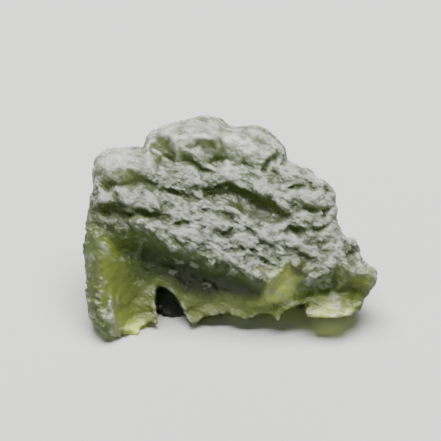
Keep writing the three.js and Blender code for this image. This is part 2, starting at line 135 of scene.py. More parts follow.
# The toothed lower lip, from the toe to the right corner: tall notch, teeth, small notch, right lip.
LIP = (
    (-12.6, -3), (-11.9, 0.3), (-11.4, 1.3), (-11.1, 1.9), (-10.2, 2.3), (-9.1, 2.4),
    (-9.35, 3.6), (-9.4, 5.0), (-9.4, 6.6), (-8.9, 7.2), (-7.9, 6.8), (-7.0, 6.0), (-6.0, 4.6), (-5.0, 2.9),
    (-4.4, 2.1), (-3.8, 2.9), (-3.0, 3.4), (-1.5, 3.5), (0.5, 3.4), (2.3, 2.9), (3.9, 3.4), (5.2, 3.4),
    (6.2, 2.8),
    (7.0, 3.8), (7.8, 4.5), (9.2, 4.6), (10.0, 3.2),
    (13.8, 3.1), (15.4, 3.4), (16.4, 4.1), (19, 5), (19, -3),
)  # fmt: skip

# The brow of the ledge that crosses the face from the upper left to the lower right, closed far above it.
LEDGE = (
    (-24, 15.6), (-18, 15.6), (-15, 14.9), (-13, 14.6), (-10.5, 14.0), (-8, 13.0), (-6, 12.1), (-3.5, 11.1),
    (-2, 10.5), (0, 9.7), (2, 8.7), (3.6, 7.4), (4.8, 7.3), (5.6, 8.6), (6.8, 10.0), (8.6, 10.6), (9.9, 9.8),
    (10.3, 8.2), (12, 8.7), (13.8, 9.3), (15.5, 9.2), (18, 8.4), (24, 8.0), (24, 45), (-24, 45),
)  # fmt: skip

PADS = (
    Pad("left lobe", (-13.9, 21.8), (3.3, 2.6), 0, 1.1),
    Pad("left lobe knuckle", (-10.6, 22.0), (2.2, 2.0), -20, 0.9),
    Pad("top lobe", (-5.2, 25.6), (4.8, 3.0), -6, 1.2),
    Pad("top lobe shoulder", (-1.2, 25.8), (3.4, 2.4), 0, 0.6),
    Pad("right lobe", (2.8, 24.6), (4.2, 2.7), -28, 1.1),
    Pad("bar under the lens", (-3.6, 22.6), (3.4, 0.8), -30, 0.6),
    Pad("row left", (-8.2, 20.6), (1.9, 1.2), -15, 0.5),
    Pad("row middle", (-5.0, 20.5), (2.3, 1.3), -20, 0.6),
    Pad("row right", (-0.6, 20.9), (2.6, 1.0), -25, 0.5),
    Pad("left edge knob", (-15.8, 18.2), (1.5, 0.9), 10, 0.6),
    Pad("left brow", (-12.5, 18.0), (1.7, 1.5), 10, 0.7),
    Pad("left brow end", (-9.6, 17.6), (1.8, 1.1), -15, 0.5),
    Pad("shoulder crest", (7.2, 21.2), (2.6, 1.0), -28, 0.6),
    Pad("shoulder knob", (7.2, 18.1), (1.6, 1.8), 15, 0.8),
    Pad("shoulder small knob", (4.1, 19.1), (1.4, 0.8), -25, 0.5),
    Pad("shoulder pad", (10.7, 18.1), (2.2, 1.0), -8, 0.6),
    Pad("shoulder tip", (11.3, 19.9), (2.0, 0.9), -25, 0.5),
    Pad("side pad", (9.8, 15.6), (1.5, 1.4), -20, 0.5),
    Pad("ledge left", (-9.6, 14.6), (2.8, 1.0), -18, 0.3),
    Pad("ledge middle", (-5.4, 12.9), (2.4, 0.9), -24, 0.5),
    Pad("ledge right", (0.6, 10.2), (3.6, 1.0), -27, 0.3),
    Pad("ledge nose", (4.2, 8.3), (1.5, 1.1), -12, 0.6),
    Pad("flow bar upper", (3.4, 14.4), (5.4, 0.7), -30, 0.45),
    Pad("flow bar lower", (2.2, 12.4), (5.0, 0.6), -34, 0.4),
    Pad("flow bar side", (8.4, 12.4), (3.4, 0.9), -22, 0.5),
    Pad("right ledge", (12.9, 10.0), (3.0, 0.8), 6, 0.3),
    Pad("spur knob", (8.9, 9.7), (1.5, 1.3), -35, 0.7, 0.8),
    Pad("spur", (7.2, 7.2), (4.2, 2.6), 42, 1.2, 1.3),
    Pad("spur tail", (4.8, 5.6), (3.4, 1.3), 12, 0.5, 1.4),
    Pad("right lip", (13.0, 3.2), (3.6, 1.6), 2, 0.9),
    Pad("foot edge", (-12.0, 1.2), (1.6, 1.8), -30, 0.8),
    Pad("left rim bar", (-16.4, 10.0), (1.6, 7.5), 0, 0.3, 1.2),
    Pad("toe bar", (-14.8, 4.6), (0.6, 2.2), 14, 0.5),
    Pad("toe", (-15.2, 2.4), (2.6, 1.8), -20, 0.5, 1.2),
    Pad("bead one", (-6.2, 10.1), (0.9, 0.5), -10, 0.45),
    Pad("bead two", (-4.3, 9.5), (0.8, 0.5), -25, 0.45),
    Pad("bead three", (0.3, 8.7), (0.8, 0.5), -10, 0.45),
    Pad("bead four", (-7.4, 9.0), (0.5, 0.4), 0, 0.4),
    Pad("bead five", (-2.1, 10.0), (0.8, 0.4), -20, 0.4),
    Pad("bead six", (-2.8, 7.2), (0.8, 0.4), -20, 0.4),
    Pad("great hollow", (-4.6, 8.0), (9.6, 4.0), -18, -0.9, 1.3),
    Pad("swirl", (-11.8, 11.9), (3.2, 2.2), 12, -0.8),
    Pad("long groove", (2.4, 17.5), (6.6, 1.5), -16, -1.4),
    Pad("long groove belly", (5.6, 16.8), (2.8, 1.2), -10, -0.5),
    Pad("lens", (-2.0, 23.4), (2.8, 1.0), -34, -0.7),
    Pad("top lobe cheek", (-8.7, 24.4), (1.6, 2.6), 14, -0.9, 1.2),
    Pad("left crease", (-7.8, 22.6), (0.7, 1.2), 25, -0.5),
    Pad("bar crease", (-4.4, 21.8), (2.2, 0.5), -28, -0.5),
    Pad("right crease", (5.4, 22.8), (2.1, 0.6), 50, -0.8),
    Pad("right pit", (4.2, 21.2), (0.6, 0.6), 0, -0.5),
    Pad("shoulder crease", (8.6, 19.1), (3.4, 0.4), -4, -0.5),
    Pad("shoulder low crease", (10.4, 17.0), (2.2, 0.5), -8, -0.6),
    Pad("side nick", (12.6, 16.4), (1.2, 0.5), 20, -0.6),
    Pad("side low nick", (11.8, 14.6), (1.4, 0.5), 15, -0.5),
    Pad("left dent", (-15.3, 19.6), (1.5, 0.9), -15, -0.7),
    Pad("left gash", (-14.8, 16.2), (2.8, 1.2), -20, -1.1),
    Pad("brow gash", (-11.0, 15.9), (2.8, 0.8), 8, -0.8),
    Pad("middle crease", (-6.2, 18.5), (3.0, 0.6), -16, -0.6),
    Pad("eye pit", (-5.8, 14.6), (1.1, 0.5), 18, -0.5),
    Pad("twin pit", (-0.6, 13.7), (1.5, 0.6), 14, -0.6),
    Pad("flow groove upper", (-1.6, 15.8), (3.4, 0.5), -20, -0.4),
    Pad("flow groove lower", (3.6, 11.2), (3.2, 0.5), -38, -0.4),
    Pad("side hollow", (8.9, 14.0), (1.6, 0.8), -18, -0.5),
    Pad("right facet", (15.2, 11.2), (1.2, 1.8), 16, -0.7),
    Pad("flank", (12.4, 7.0), (3.4, 1.9), 16, -1.0),
    Pad("right corner", (16.0, 6.4), (2.6, 2.0), 40, -0.8),
    Pad("spur foot", (2.6, 6.6), (1.8, 0.8), -20, -0.4),
)


@dataclass(frozen=True)
class Bite:
    """A stretched ball pressed into one of the far sides, as (right, back, high) in mm."""

    name: str
    at: tuple[float, float, float]
    half: tuple[float, float, float]


BITES = (
    Bite("rear left", (-14.5, 27.0, 7.0), (7.0, 5.5, 5.0)),
    Bite("rear right", (9.0, 29.5, 6.5), (8.0, 6.0, 5.0)),
    Bite("rear top", (-3.0, 30.0, 15.0), (6.0, 5.5, 4.0)),
    Bite("left flank", (-23.0, 15.0, 4.0), (6.5, 7.0, 4.5)),
    Bite("right flank", (20.5, 16.0, 3.0), (6.5, 7.0, 5.0)),
)


def rounded_max(a: np.ndarray, b: np.ndarray, round_by: float) -> np.ndarray:
    """Returns the larger of two values, with a rounded change from one to the other."""
    near = np.maximum(round_by - np.abs(a - b), 0) / round_by
    return np.maximum(a, b) + near * near * round_by / 4


def smooth_step(value: np.ndarray, low: float, high: float) -> np.ndarray:
    """Returns 0 below low, 1 above high, and a smooth change between."""
    share = np.clip((value - low) / (high - low), 0, 1)
    return share * share * (3 - 2 * share)


def hashed(i: np.ndarray, j: np.ndarray, k: np.ndarray, salt: int) -> np.ndarray:
    """Makes a repeatable number for each cell of a pattern.

    Args:
        i: The cells' first whole numbers.
        j: Their second ones.
        k: Their third ones.
        salt: Which of the many patterns it is.

    Returns:
        The numbers, from 0 to 1.
    """
    as_bits = [np.asarray(v).astype(np.int64).astype(np.uint32) for v in (i, j, k)]
    n = as_bits[0] * np.uint32(374761393) + as_bits[1] * np.uint32(668265263)
    n = n + as_bits[2] * np.uint32(1274126177) + np.uint32(salt * 2654435 & 0xFFFFFFFF)
    n = (n ^ (n >> np.uint32(13))) * np.uint32(1103515245)
    n = (n ^ (n >> np.uint32(16))) * np.uint32(1274126177)
    return (n ^ (n >> np.uint32(15))).astype(np.float32) / np.float32(2**32)


def value_noise(place: np.ndarray, size: float, salt: int) -> np.ndarray:
    """Makes soft noise.

    Args:
        place: The places, in mm, one to a row.
        size: The size of its lumps, in mm.
        salt: Which of the many patterns it is.

    Returns:
        The noise at each place, from -1 to 1.
    """
    scaled = place / size
    cell = np.floor(scaled)
    part = scaled - cell
    part = part * part * (3 - 2 * part)
    total = np.zeros(len(place), np.float32)
    for corner in range(8):
        step = [(corner >> axis) & 1 for axis in range(3)]
        weight = np.ones(len(place), np.float32)
        for axis in range(3):
            weight *= part[:, axis] if step[axis] else 1 - part[:, axis]
        total += weight * hashed(*(cell[:, axis] + step[axis] for axis in range(3)), salt)
    return total * 2 - 1


@dataclass(frozen=True)
class Scallops:
    """Bowls round scattered middles that meet in sharp ridges, as acid etches them in the ground.

    Args:
        size: Their usual size across the flow of the glass, in mm.
        stretch: How much longer they are along it.
        turn: The way of the flow on the broad face, in degrees.
        salt: Which of the many patterns it is.
    """

    size: float
    stretch: float
    turn: float
    salt: int = 0

    def depth(self, place: np.ndarray) -> np.ndarray:
        """Works out how deep the bowls are.

        Args:
            place: The places, as (across, up, out) in mm, one to a row.

        Returns:
            1 in the middle of a bowl and about 0 on a ridge.
        """
        angle = math.radians(self.turn)
        along = (place[:, 0] * math.cos(angle) + place[:, 1] * math.sin(angle)) / (self.size * self.stretch)
        over = (place[:, 1] * math.cos(angle) - place[:, 0] * math.sin(angle)) / self.size
        scaled = np.stack([along, over, place[:, 2] / self.size], 1).astype(np.float32)
        cell = np.floor(scaled).astype(np.int64)
        nearest = np.ones(len(place), np.float32)
        for shift in np.ndindex(3, 3, 3):
            at = [cell[:, axis] + shift[axis] - 1 for axis in range(3)]
            away = [at[axis] + hashed(*at, self.salt + axis + 1) - scaled[:, axis] for axis in range(3)]
            np.minimum(nearest, sum(step**2 for step in away), out=nearest)
        return 1 - nearest


class Outline:
    """A closed line on the face plane, with the distance of any place from it."""

    def __init__(self, points: tuple[tuple[float, float], ...], smooth: int = 0) -> None:
        """Makes the line.

        Args:
            points: Its corners.
            smooth: How many steps each side is curved in, or 0 to leave the sides straight.
        """
        corners = np.array(points, float)
        self.line = self._curved(corners, smooth) if smooth else corners

    @staticmethod
    def _curved(corners: np.ndarray, steps: int) -> np.ndarray:
        """Draws a Catmull-Rom curve.

        Args:
            corners: The points that it goes through, in order.
            steps: How many steps each side has.

        Returns:
            The points of the closed curve.
        """
        before, after, beyond = (np.roll(corners, shift, 0) for shift in (1, -1, -2))
        t = (np.arange(steps) / steps)[None, :, None]
        a, b, c, d = (v[:, None, :] for v in (before, corners, after, beyond))
        curve = b + 0.5 * t * (c - a + t * (2 * a - 5 * b + 4 * c - d + t * (3 * (b - c) + d - a)))
        return curve.reshape(-1, 2)

    def outside(self, across: np.ndarray, up: np.ndarray) -> np.ndarray:
        """Measures from the line.

        Args:
            across: The places' first coordinates, in mm.
            up: Their second ones.

        Returns:
            How far each place is outside the line. It is negative inside.
        """
        nearest = np.full(across.shape, np.inf)
        inside = np.zeros(across.shape, bool)
        for (ax, ay), (bx, by) in zip(self.line, np.roll(self.line, 1, 0)):
            long2 = (bx - ax) ** 2 + (by - ay) ** 2 or 1
            t = np.clip(((across - ax) * (bx - ax) + (up - ay) * (by - ay)) / long2, 0, 1)
            nearest = np.minimum(nearest, np.hypot(across - ax - t * (bx - ax), up - ay - t * (by - ay)))
            if ay != by:
                crosses = ((ay > up) != (by > up)) & (across < ax + (up - ay) / (by - ay) * (bx - ax))
                inside ^= crosses
        return np.where(inside, -nearest, nearest)


@dataclass(frozen=True)
class StoneForm:
    """The form of the stone, as how far any place is outside the glass.

    Places are (across, up, out) on the leaning face plane, in mm, or (right, back, high) as the stone lies.
    A Span is from where to where a change goes, along what its comment names.
    """

    lean: float = math.radians(40)  # how far the face plane leans back
    brow_out: float = 2.4  # how far the face stands out at the ledge
    face_slope: float = 0.2  # how it falls away above that
    face_bend: float = 0.012  # how it does so more and more
    drop: float = 2.6  # how far the face goes in below the ledge
    drop_by: float = 2.4  # over what distance
    drop_left: Span = (-16.5, -11.5)  # across
    drop_right: Span = (4, 8)  # across
    drop_right_less: float = 0.45  # the share of it that is missing at the right
    lip_fall: float = 1.5  # how far it goes in further towards the lip
    lip_fall_over: Span = (2, 8)  # down from the ledge
    lip_roll: float = 0.4  # how far the lip's edge is rolled out
    lip_roll_by: float = 1.0  # over what distance
    left_fall: float = 1.1  # how far the low left side goes in
    left_fall_over: Span = (12.5, 18)  # across, to the left
    left_fall_end: Span = (14, 19)  # up
    pad_salts: tuple[int, int] = (71, 72)
    pad_warp: float = 0.6  # how far the edges of the pads wander
    pad_warp_size: float = 2.3
    pad_ripple: float = 0.15  # how far they do so finely
    pad_ripple_size: float = 0.9
    rim_behind: float = 2.6  # how far behind the face the sides begin to close in
    let_out: float = 0.4  # how far the outline is let out
    back_taper: float = 0.085  # how fast the sides close in
    oval_at: tuple[float, float] = (-1, 12.5)  # the oval that the outline goes over to behind the face
    oval_half: tuple[float, float] = (17.5, 14)
    oval_by: float = 9  # over what depth it does
    oval_share: float = 0.75  # how much of the way it goes
    rim_round: float = 2.4  # how round the rim is, as with all that end in round
    recess_wall: float = -3.7  # how far out the wall behind the lip is
    recess_right: float = 0.7  # how much deeper it is at the right
    recess_right_over: Span = (-7, 1)  # across
    recess_round: float = 0.3
    lip_thick: float = 1.1  # how thick the lip is
    undercut: float = 1.5  # how fast the hollow behind it widens
    undercut_by: float = 2.0  # over what depth it does
    rear: float = 26.6  # how far back the stone goes
    rear_round: float = 4
    underside_hollow: float = 2.2  # how deep the bowls of the underside are
    underside_level: float = 0.62  # the share of that depth that is level with the ground
    underside_sink: float = 0.2  # how far they are sunk, so that the ground cuts the pads
    underside_round: float = 0.8
    underside_shift: float = 40  # how far their pattern is moved to the right
    bite_round: float = 1.2
    scallops: Scallops = Scallops(4.4, 1.6, -22)
    scallop_deep: float = 1.6  # how deep the scallops are on the sides and the back
    scallop_face_deep: float = 0.25  # how deep they are on the broad face
    scallop_level: float = 0.45  # the share of that depth that stays where it was
    scallop_by: float = 3  # over what depth the one goes over to the other

    def standing(self, place: np.ndarray) -> np.ndarray:
        """Stands places up as the stone lies.

        Args:
            place: (across, up, out), in the last axis.

        Returns:
            (right, back, high), in the last axis.
        """
        across, up, out = place[..., 0], place[..., 1], place[..., 2]
        sin, cos = math.sin(self.lean), math.cos(self.lean)
        return np.stack([across, up * sin - out * cos, up * cos + out * sin], -1)

    def relief(self, across: np.ndarray, up: np.ndarray) -> np.ndarray:
        """Works out the broad face.

        Args:
            across: The places' first coordinates, in mm.
            up: Their second ones.

        Returns:
            How far out it stands at each place, in mm.
        """
        flat = np.stack([across.ravel(), up.ravel(), np.zeros(across.size)], 1)
        bent = []
        for salt, coordinate in zip(self.pad_salts, (across, up)):
            warp = self.pad_warp * value_noise(flat, self.pad_warp_size, salt)
            ripple = self.pad_ripple * value_noise(flat, self.pad_ripple_size, salt + len(self.pad_salts))
            bent.append(coordinate + (warp + ripple).reshape(across.shape))
        above = -Outline(LEDGE).outside(*bent)
        below = np.maximum(-above, 0)
        above = np.maximum(above, 0)
        out = self.brow_out - self.face_slope * above - self.face_bend * above**2
        share = 1 - self.drop_right_less * smooth_step(across, *self.drop_right)
        share = smooth_step(across, *self.drop_left) * share
        fall = self.lip_fall * smooth_step(below, *self.lip_fall_over)
        out = out - share * (self.drop * smooth_step(below, 0, self.drop_by) + fall)
        low = 1 - smooth_step(up, *self.left_fall_end)
        out = out - self.left_fall * smooth_step(-across, *self.left_fall_over) * low
        for pad in PADS:
            out = out + pad.rise * pad.share(*bent)
        return out

    def block(self, place: np.ndarray, plane: np.ndarray) -> np.ndarray:
        """Works out the block, before the etching.

        Args:
            place: The places, as (across, up, out) in mm, one to a row.
            plane: The relief, the outline's distance and the lip's distance at each place.

        Returns:
            How far each place is outside the block, in mm.
        """
        relief, outline, lip = plane[:, 0], plane[:, 1], plane[:, 2]
        face = relief + self.lip_roll * np.clip(1 - np.abs(lip) / self.lip_roll_by, 0, 1) ** 2
        right, back, high = self.standing(place).T
        behind = np.maximum(relief - self.rim_behind - place[:, 2], 0)
        oval = np.hypot(
            (place[:, 0] - self.oval_at[0]) / self.oval_half[0],
            (place[:, 1] - self.oval_at[1]) / self.oval_half[1],
        ) - 1
        plainness = self.oval_share * smooth_step(behind, 0, self.oval_by)
        outline = outline - self.let_out
        side = outline + plainness * (oval * self.oval_half[1] - outline)
        gap = rounded_max(place[:, 2] - face, side + self.back_taper * behind**2, self.rim_round)
        gap = rounded_max(gap, back - self.rear, self.rear_round)
        flat = np.stack([right + self.underside_shift, back, np.zeros_like(back)], 1)
        underside = self.underside_hollow * (self.scallops.depth(flat) - self.underside_level)
        underside = underside - self.underside_sink
        gap = rounded_max(gap, underside - high, self.underside_round)
        for bite in BITES:
            away = [(v - at) / half for v, at, half in zip((right, back, high), bite.at, bite.half)]
            reach = np.sqrt(sum(step**2 for step in away))
            gap = rounded_max(gap, (1 - reach) * min(bite.half), self.bite_round)
        deep = relief - place[:, 2]
        lip = lip - self.undercut * np.clip(deep - self.lip_thick, 0, self.undercut_by)
        wall = self.recess_wall - self.recess_right * smooth_step(place[:, 0], *self.recess_right_over)
        recess = np.minimum(-lip, place[:, 2] - wall)
        return rounded_max(gap, recess, self.recess_round)

    def etched(self, place: np.ndarray, plane: np.ndarray, gap: np.ndarray) -> np.ndarray:
        """Etches the block.

        Args:
            place: The places, as (across, up, out) in mm, one to a row.
            plane: As for block().
            gap: What block() returned.

        Returns:
            How far each place is outside the etched glass, in mm.
        """
        behind = np.maximum(plane[:, 0] - self.rim_behind - place[:, 2], 0)
        rough = smooth_step(behind, 0, self.scallop_by)
        deep = self.scallop_face_deep + (self.scallop_deep - self.scallop_face_deep) * rough
        return gap + deep * (self.scallops.depth(place) - self.scallop_level)


# Where the fine etching is weaker: the places are as in PADS, and rise is the share that is taken away.
CALM = (
    Pad("left lobe", (-13.6, 22.0), (4.5, 3.0), 0, 0.6, 0.6),
    Pad("top and right lobes", (-2.5, 25.5), (9.5, 4.2), -10, 0.65, 0.5),
    Pad("cheek", (-8.7, 24.2), (2.4, 3.2), 10, 0.6, 0.6),
    Pad("long groove", (2.6, 17.3), (6.0, 1.4), -15, 0.6, 0.6),
    Pad("great hollow", (-2.0, 6.2), (8.5, 3.0), -8, 0.55, 0.6),
    Pad("left band", (-16.0, 10.5), (2.6, 6.0), 0, 0.65, 0.5),
    Pad("left low", (-12.8, 5.6), (3.6, 5.0), 0, 0.55, 0.5),
    Pad("spur", (7.6, 8.2), (4.4, 2.4), 45, 0.6, 0.5),
    Pad("right lip", (13.0, 3.4), (3.6, 1.4), 2, 0.5, 0.5),
    Pad("right corner", (15.6, 6.4), (2.6, 2.6), 30, 0.6, 0.6),
)

# Painted shade, where the skin is darkened in hollows, creases and over deep glass, and painted glow, where
# it is lightened as if lit through thin glass. The rise is the share, which is below 0 for the painted
# shade.
PAINTED_SHADE_AND_GLOW = (
    Pad("great hollow", (-5.6, 8.6), (6.6, 2.4), -22, -1.0, 0.6),
    Pad("under the nose", (1.4, 7.0), (4.2, 1.5), -12, -0.8, 0.8),
    Pad("left gash", (-14.6, 15.9), (3.6, 2.1), -16, -1.2, 0.5),
    Pad("brow gash", (-10.6, 15.8), (3.4, 1.2), 8, -1.0, 0.6),
    Pad("long groove", (2.7, 17.2), (7.2, 2.1), -18, -1.0, 0.5),
    Pad("middle crease", (-5.9, 18.2), (3.2, 0.9), -26, -0.7, 0.7),
    Pad("left dent", (-15.4, 19.7), (1.6, 0.9), -20, -0.6, 0.7),
    Pad("under the left lobe", (-9.9, 19.9), (2.0, 0.9), -15, -0.5, 0.7),
    Pad("cheek", (-8.7, 24.2), (1.6, 2.5), 10, -0.9, 0.6),
    Pad("spur tail", (4.4, 5.5), (2.6, 1.1), 12, 0.5, 0.7),
    Pad("spur knob", (9.0, 9.8), (1.6, 1.4), -35, -1.6, 0.5),
    Pad("right lip", (13.0, 3.4), (3.8, 1.3), 2, 1.0, 0.6),
    Pad("foot edge", (-12.2, 1.6), (1.3, 2.0), -30, 1.0, 0.7),
    Pad("spur", (7.2, 7.5), (3.4, 1.9), 42, 1.0, 0.5),
    Pad("left band", (-16.2, 10.5), (2.4, 6.5), 0, -0.3, 0.7),
    Pad("right corner", (15.6, 6.6), (2.6, 2.4), 40, -0.4, 0.7),
    Pad("right facet", (15.1, 11.3), (1.2, 1.9), 16, -0.8, 0.6),
    Pad("side dip", (11.4, 12.7), (1.8, 0.9), -10, -0.8, 0.6),
    Pad("nose pocket", (3.9, 9.3), (1.7, 0.7), -30, -0.6, 0.6),
)

# Where a pale haze, painted sheen and painted glow are added to the frost, and where frost is taken off.
HAZE_AND_SHEEN = (
    Pad("spur", (7.3, 7.2), (3.2, 1.9), 42, 0.6, 0.6),
    Pad("spur tail", (4.6, 5.6), (2.6, 1.0), 12, 0.2, 0.6),
    Pad("right lip", (13.0, 3.4), (3.6, 1.2), 2, 0.3, 0.5),
    Pad("flank", (12.0, 7.4), (3.2, 1.8), 16, 0.8, 0.7),
    Pad("hollow", (0.0, 5.2), (8.0, 2.4), -4, -0.4, 0.6),
    Pad("left low", (-12.2, 7.6), (3.2, 3.4), 0, -0.4, 0.6),
    Pad("toe bar", (-14.7, 4.2), (1.2, 2.6), 14, 0.7, 0.7),
    Pad("left lobe", (-12.2, 21.6), (2.4, 1.8), 10, -0.2, 0.6),
    Pad("lens", (-2.0, 23.4), (2.8, 1.2), -34, 0.6, 0.6),
    Pad("swirl", (-11.8, 12.2), (2.8, 1.9), 12, 0.8, 0.8),
    Pad("foot edge", (-12.2, 1.6), (1.3, 2.0), -30, 0.25, 0.6),
    Pad("right lobe", (3.4, 25.2), (3.0, 1.2), -28, -0.2, 0.6),
)


def calmness(place: np.ndarray) -> np.ndarray:
    """Returns how calm the skin is, from 0 to MOST_CALM, for (across, up, out) in mm."""
    calm = sum(pad.rise * pad.share(place[:, 0], place[:, 1]) for pad in CALM)
    return np.minimum(calm, MOST_CALM) * smooth_step(place[:, 2], -5, -3)


def wandering(place: np.ndarray, far: float, size: float, salt: int) -> np.ndarray:
    """Returns places that are moved by up to far mm, in lumps of size mm, so that edges look worn."""
    return place + far * np.stack([value_noise(place, size, salt + axis) for axis in range(3)], 1)


@dataclass(frozen=True)
class FineEtching:
    """The smaller bowls, clumps and grain that cover the stone."""

    bowls: Scallops = Scallops(1.9, 1.7, -26, 11)
    bowl_deep: float = 0.45  # how deep the bowls are
    clumps: Scallops = Scallops(0.9, 1.3, -28, 23)
    clump_high: float = 0.5  # how high the clumps are
    grain_size: float = 0.75
    grain_stretch: float = 3.6  # how much longer the grain is along the flow
    grain_turn: float = -30  # the way of the flow on the broad face
    grain_deep: float = 0.14
    grain_level: float = 0.7  # the share of its depth that stays where it was
    grain_parts: tuple[float, ...] = (1.0, 0.5)  # the size and depth of each of its layers
    grain_salt: int = 81
    warp: float = 0.8  # how far it all wanders
    warp_size: float = 2.6
    warp_salt: int = 51
    patch_size: float = 4.5
    patch_salt: int = 61
    patch_mean: float = 0.6  # the share of the bowls' depth that there is on average
    patch_swing: float = 0.4  # how much that changes
    behind_share: float = 0.6  # the share of the etching that the sides and the back have
    behind_over: Span = (-7, -3)  # out

    def depth(self, place: np.ndarray) -> np.ndarray:
        """Works out the fine etching.

        Args:
            place: The places, as (across, up, out) in mm, one to a row.

        Returns:
            How deep the glass is etched at each place, in mm.
        """
        bent = wandering(place, self.warp, self.warp_size, self.warp_salt)
        patchy = self.patch_mean + self.patch_swing * value_noise(place, self.patch_size, self.patch_salt)
        in_front = smooth_step(place[:, 2], *self.behind_over)
        amount = (1 - calmness(place)) * (self.behind_share + (1 - self.behind_share) * in_front)
        deep = self.bowl_deep * patchy * (self.bowls.depth(bent) - 0.5)
        deep -= self.clump_high * (self.clumps.depth(bent) - 0.5)
        angle = math.radians(self.grain_turn)
        along = bent[:, 0] * math.cos(angle) + bent[:, 1] * math.sin(angle)
        over = bent[:, 1] * math.cos(angle) - bent[:, 0] * math.sin(angle)
        flow = np.stack([along / self.grain_stretch, over, bent[:, 2]], 1)
        for part in self.grain_parts:
            furrow = np.abs(value_noise(flow, self.grain_size * part, self.grain_salt)) * 2
            deep += self.grain_deep * part * (furrow - self.grain_level)
        return deep * amount


class SurfaceNet:
    """Draws the surface of a form on a regular grid."""

    LOW = (-20.0, -5.0, -26.0)
    HIGH = (20.0, 30.0, 5.0)
    OUTLINE_STEPS = 4
    BAND = 2.6
    FINE_BAND = 0.8
    AT_ONCE = 400000
    ROUNDS = 40
    JUST_INSIDE = -1e-3

    def __init__(self, form: StoneForm, etching: FineEtching, step: float) -> None:
        """Fills the grid with distances.

        Args:
            form: The form to draw.
            etching: Its finer etching.
            step: The grid's spacing, in mm.
        """
        self.form = form
        self.step = step
        self.low = np.array(self.LOW)
        self.counts = tuple(int(n) for n in np.ceil((np.array(self.HIGH) - self.low) / step) + 1)
        across, up, out = (self.low[k] + step * np.arange(self.counts[k]) for k in range(3))
        flat_across, flat_up = np.meshgrid(across, up, indexing="ij")
        relief = form.relief(flat_across, flat_up)
        outline = Outline(OUTLINE, self.OUTLINE_STEPS).outside(flat_across, flat_up)
        lip = Outline(LIP).outside(flat_across, flat_up)
        rough = np.maximum(out - relief[..., None], outline[..., None])
        self.values = rough.astype(np.float32)
        near = np.argwhere(rough < self.BAND)
        for part in np.array_split(near, max(1, len(near) // self.AT_ONCE)):
            place = self.low + part * step
            plane = np.stack([grid[part[:, 0], part[:, 1]] for grid in (relief, outline, lip)], 1)
            gap = form.block(place, plane)
            close = np.abs(gap) < self.BAND
            gap[close] = form.etched(place[close], plane[close], gap[close])
            close = np.abs(gap) < self.FINE_BAND
            gap[close] += etching.depth(place[close])
            self.values[tuple(part.T)] = gap
        self._ground(across, up, out)
        self._join_pinches()

    def _ground(self, across: np.ndarray, up: np.ndarray, out: np.ndarray) -> None:
        """Cuts off what would reach below the ground.

        Args:
            across: The grid's first coordinates, in mm.
            up: Its second ones.
            out: Its third ones.
        """
        sin, cos = math.sin(self.form.lean), math.cos(self.form.lean)
        high = up[None, :, None] * cos + out[None, None, :] * sin
        np.maximum(self.values, -high.astype(np.float32), out=self.values)

    def _join_pinches(self) -> None:
        """Adds glass where the corners of a grid square lie in and out by turns."""
        for _ in range(self.ROUNDS):
            found = False
            for s, t in ((0, 1), (1, 2), (2, 0)):
                lows = [slice(None, -1) if axis in (s, t) else slice(None) for axis in range(3)]
                views = []
                for step_s, step_t in ((0, 0), (1, 0), (1, 1), (0, 1)):
                    cut = list(lows)
                    cut[s] = slice(1, None) if step_s else slice(None, -1)
                    cut[t] = slice(1, None) if step_t else slice(None, -1)
                    views.append(self.values[tuple(cut)])
                a, b, c, d = (view < 0 for view in views)
                pinched = (a == c) & (b == d) & (a != b)
                if not pinched.any():
                    continue
                found = True
                for one, other in ((0, 2), (1, 3)):
                    outer = pinched & (views[one] >= 0)
                    first = outer & (views[one] <= views[other])
                    second = outer & ~first
                    views[one][first] = self.JUST_INSIDE
                    views[other][second] = self.JUST_INSIDE
            if not found:
                return

    def surface(self) -> tuple[np.ndarray, np.ndarray]:
        """Draws the surface.

        Returns:
            The corners, as (across, up, out) in mm, and the four-sided faces.
        """
        values = self.values
        inside = values < 0
        total = np.zeros(tuple(n - 1 for n in self.counts), np.int8)
        for corner in np.ndindex(2, 2, 2):
            total += inside[tuple(slice(c, n - 1 + c) for c, n in zip(corner, self.counts))]
        cells = np.argwhere((total > 0) & (total < 8))
        number = np.full(total.shape, -1, np.int64)
        number[tuple(cells.T)] = np.arange(len(cells))
        middle = np.zeros((len(cells), 3))
        crossings = np.zeros(len(cells))
        for start in np.ndindex(2, 2, 2):
            for axis in range(3):
                if start[axis]:
                    continue
                end = np.array(start)
                end[axis] = 1
                a = values[tuple((cells + start).T)]
                b = values[tuple((cells + end).T)]
                crossed = (a < 0) != (b < 0)
                t = np.where(crossed, a / np.where(crossed, a - b, 1), 0)
                point = np.array(start) + t[:, None] * (end - np.array(start))
                middle += np.where(crossed[:, None], point, 0)
                crossings += crossed
        place = self.low + (cells + middle / crossings[:, None]) * self.step
        faces = []
        for axis in range(3):
            s, t = (axis + 1) % 3, (axis + 2) % 3
            ahead = [slice(None)] * 3
            behind = [slice(None)] * 3
            ahead[axis], behind[axis] = slice(1, None), slice(None, -1)
            starts = inside[tuple(behind)]
            crossing = np.argwhere(starts != inside[tuple(ahead)])
            outward = starts[tuple(crossing.T)]
            corners = []
            for back_s, back_t in ((0, 0), (1, 0), (1, 1), (0, 1)):
                cell = crossing.copy()
                cell[:, s] -= back_s
                cell[:, t] -= back_t
                corners.append(number[tuple(cell.T)])
            quads = np.stack(corners, 1)
            quads[~outward] = quads[~outward][:, ::-1]
            faces.append(quads)
        return self._largest_part(place, np.concatenate(faces))

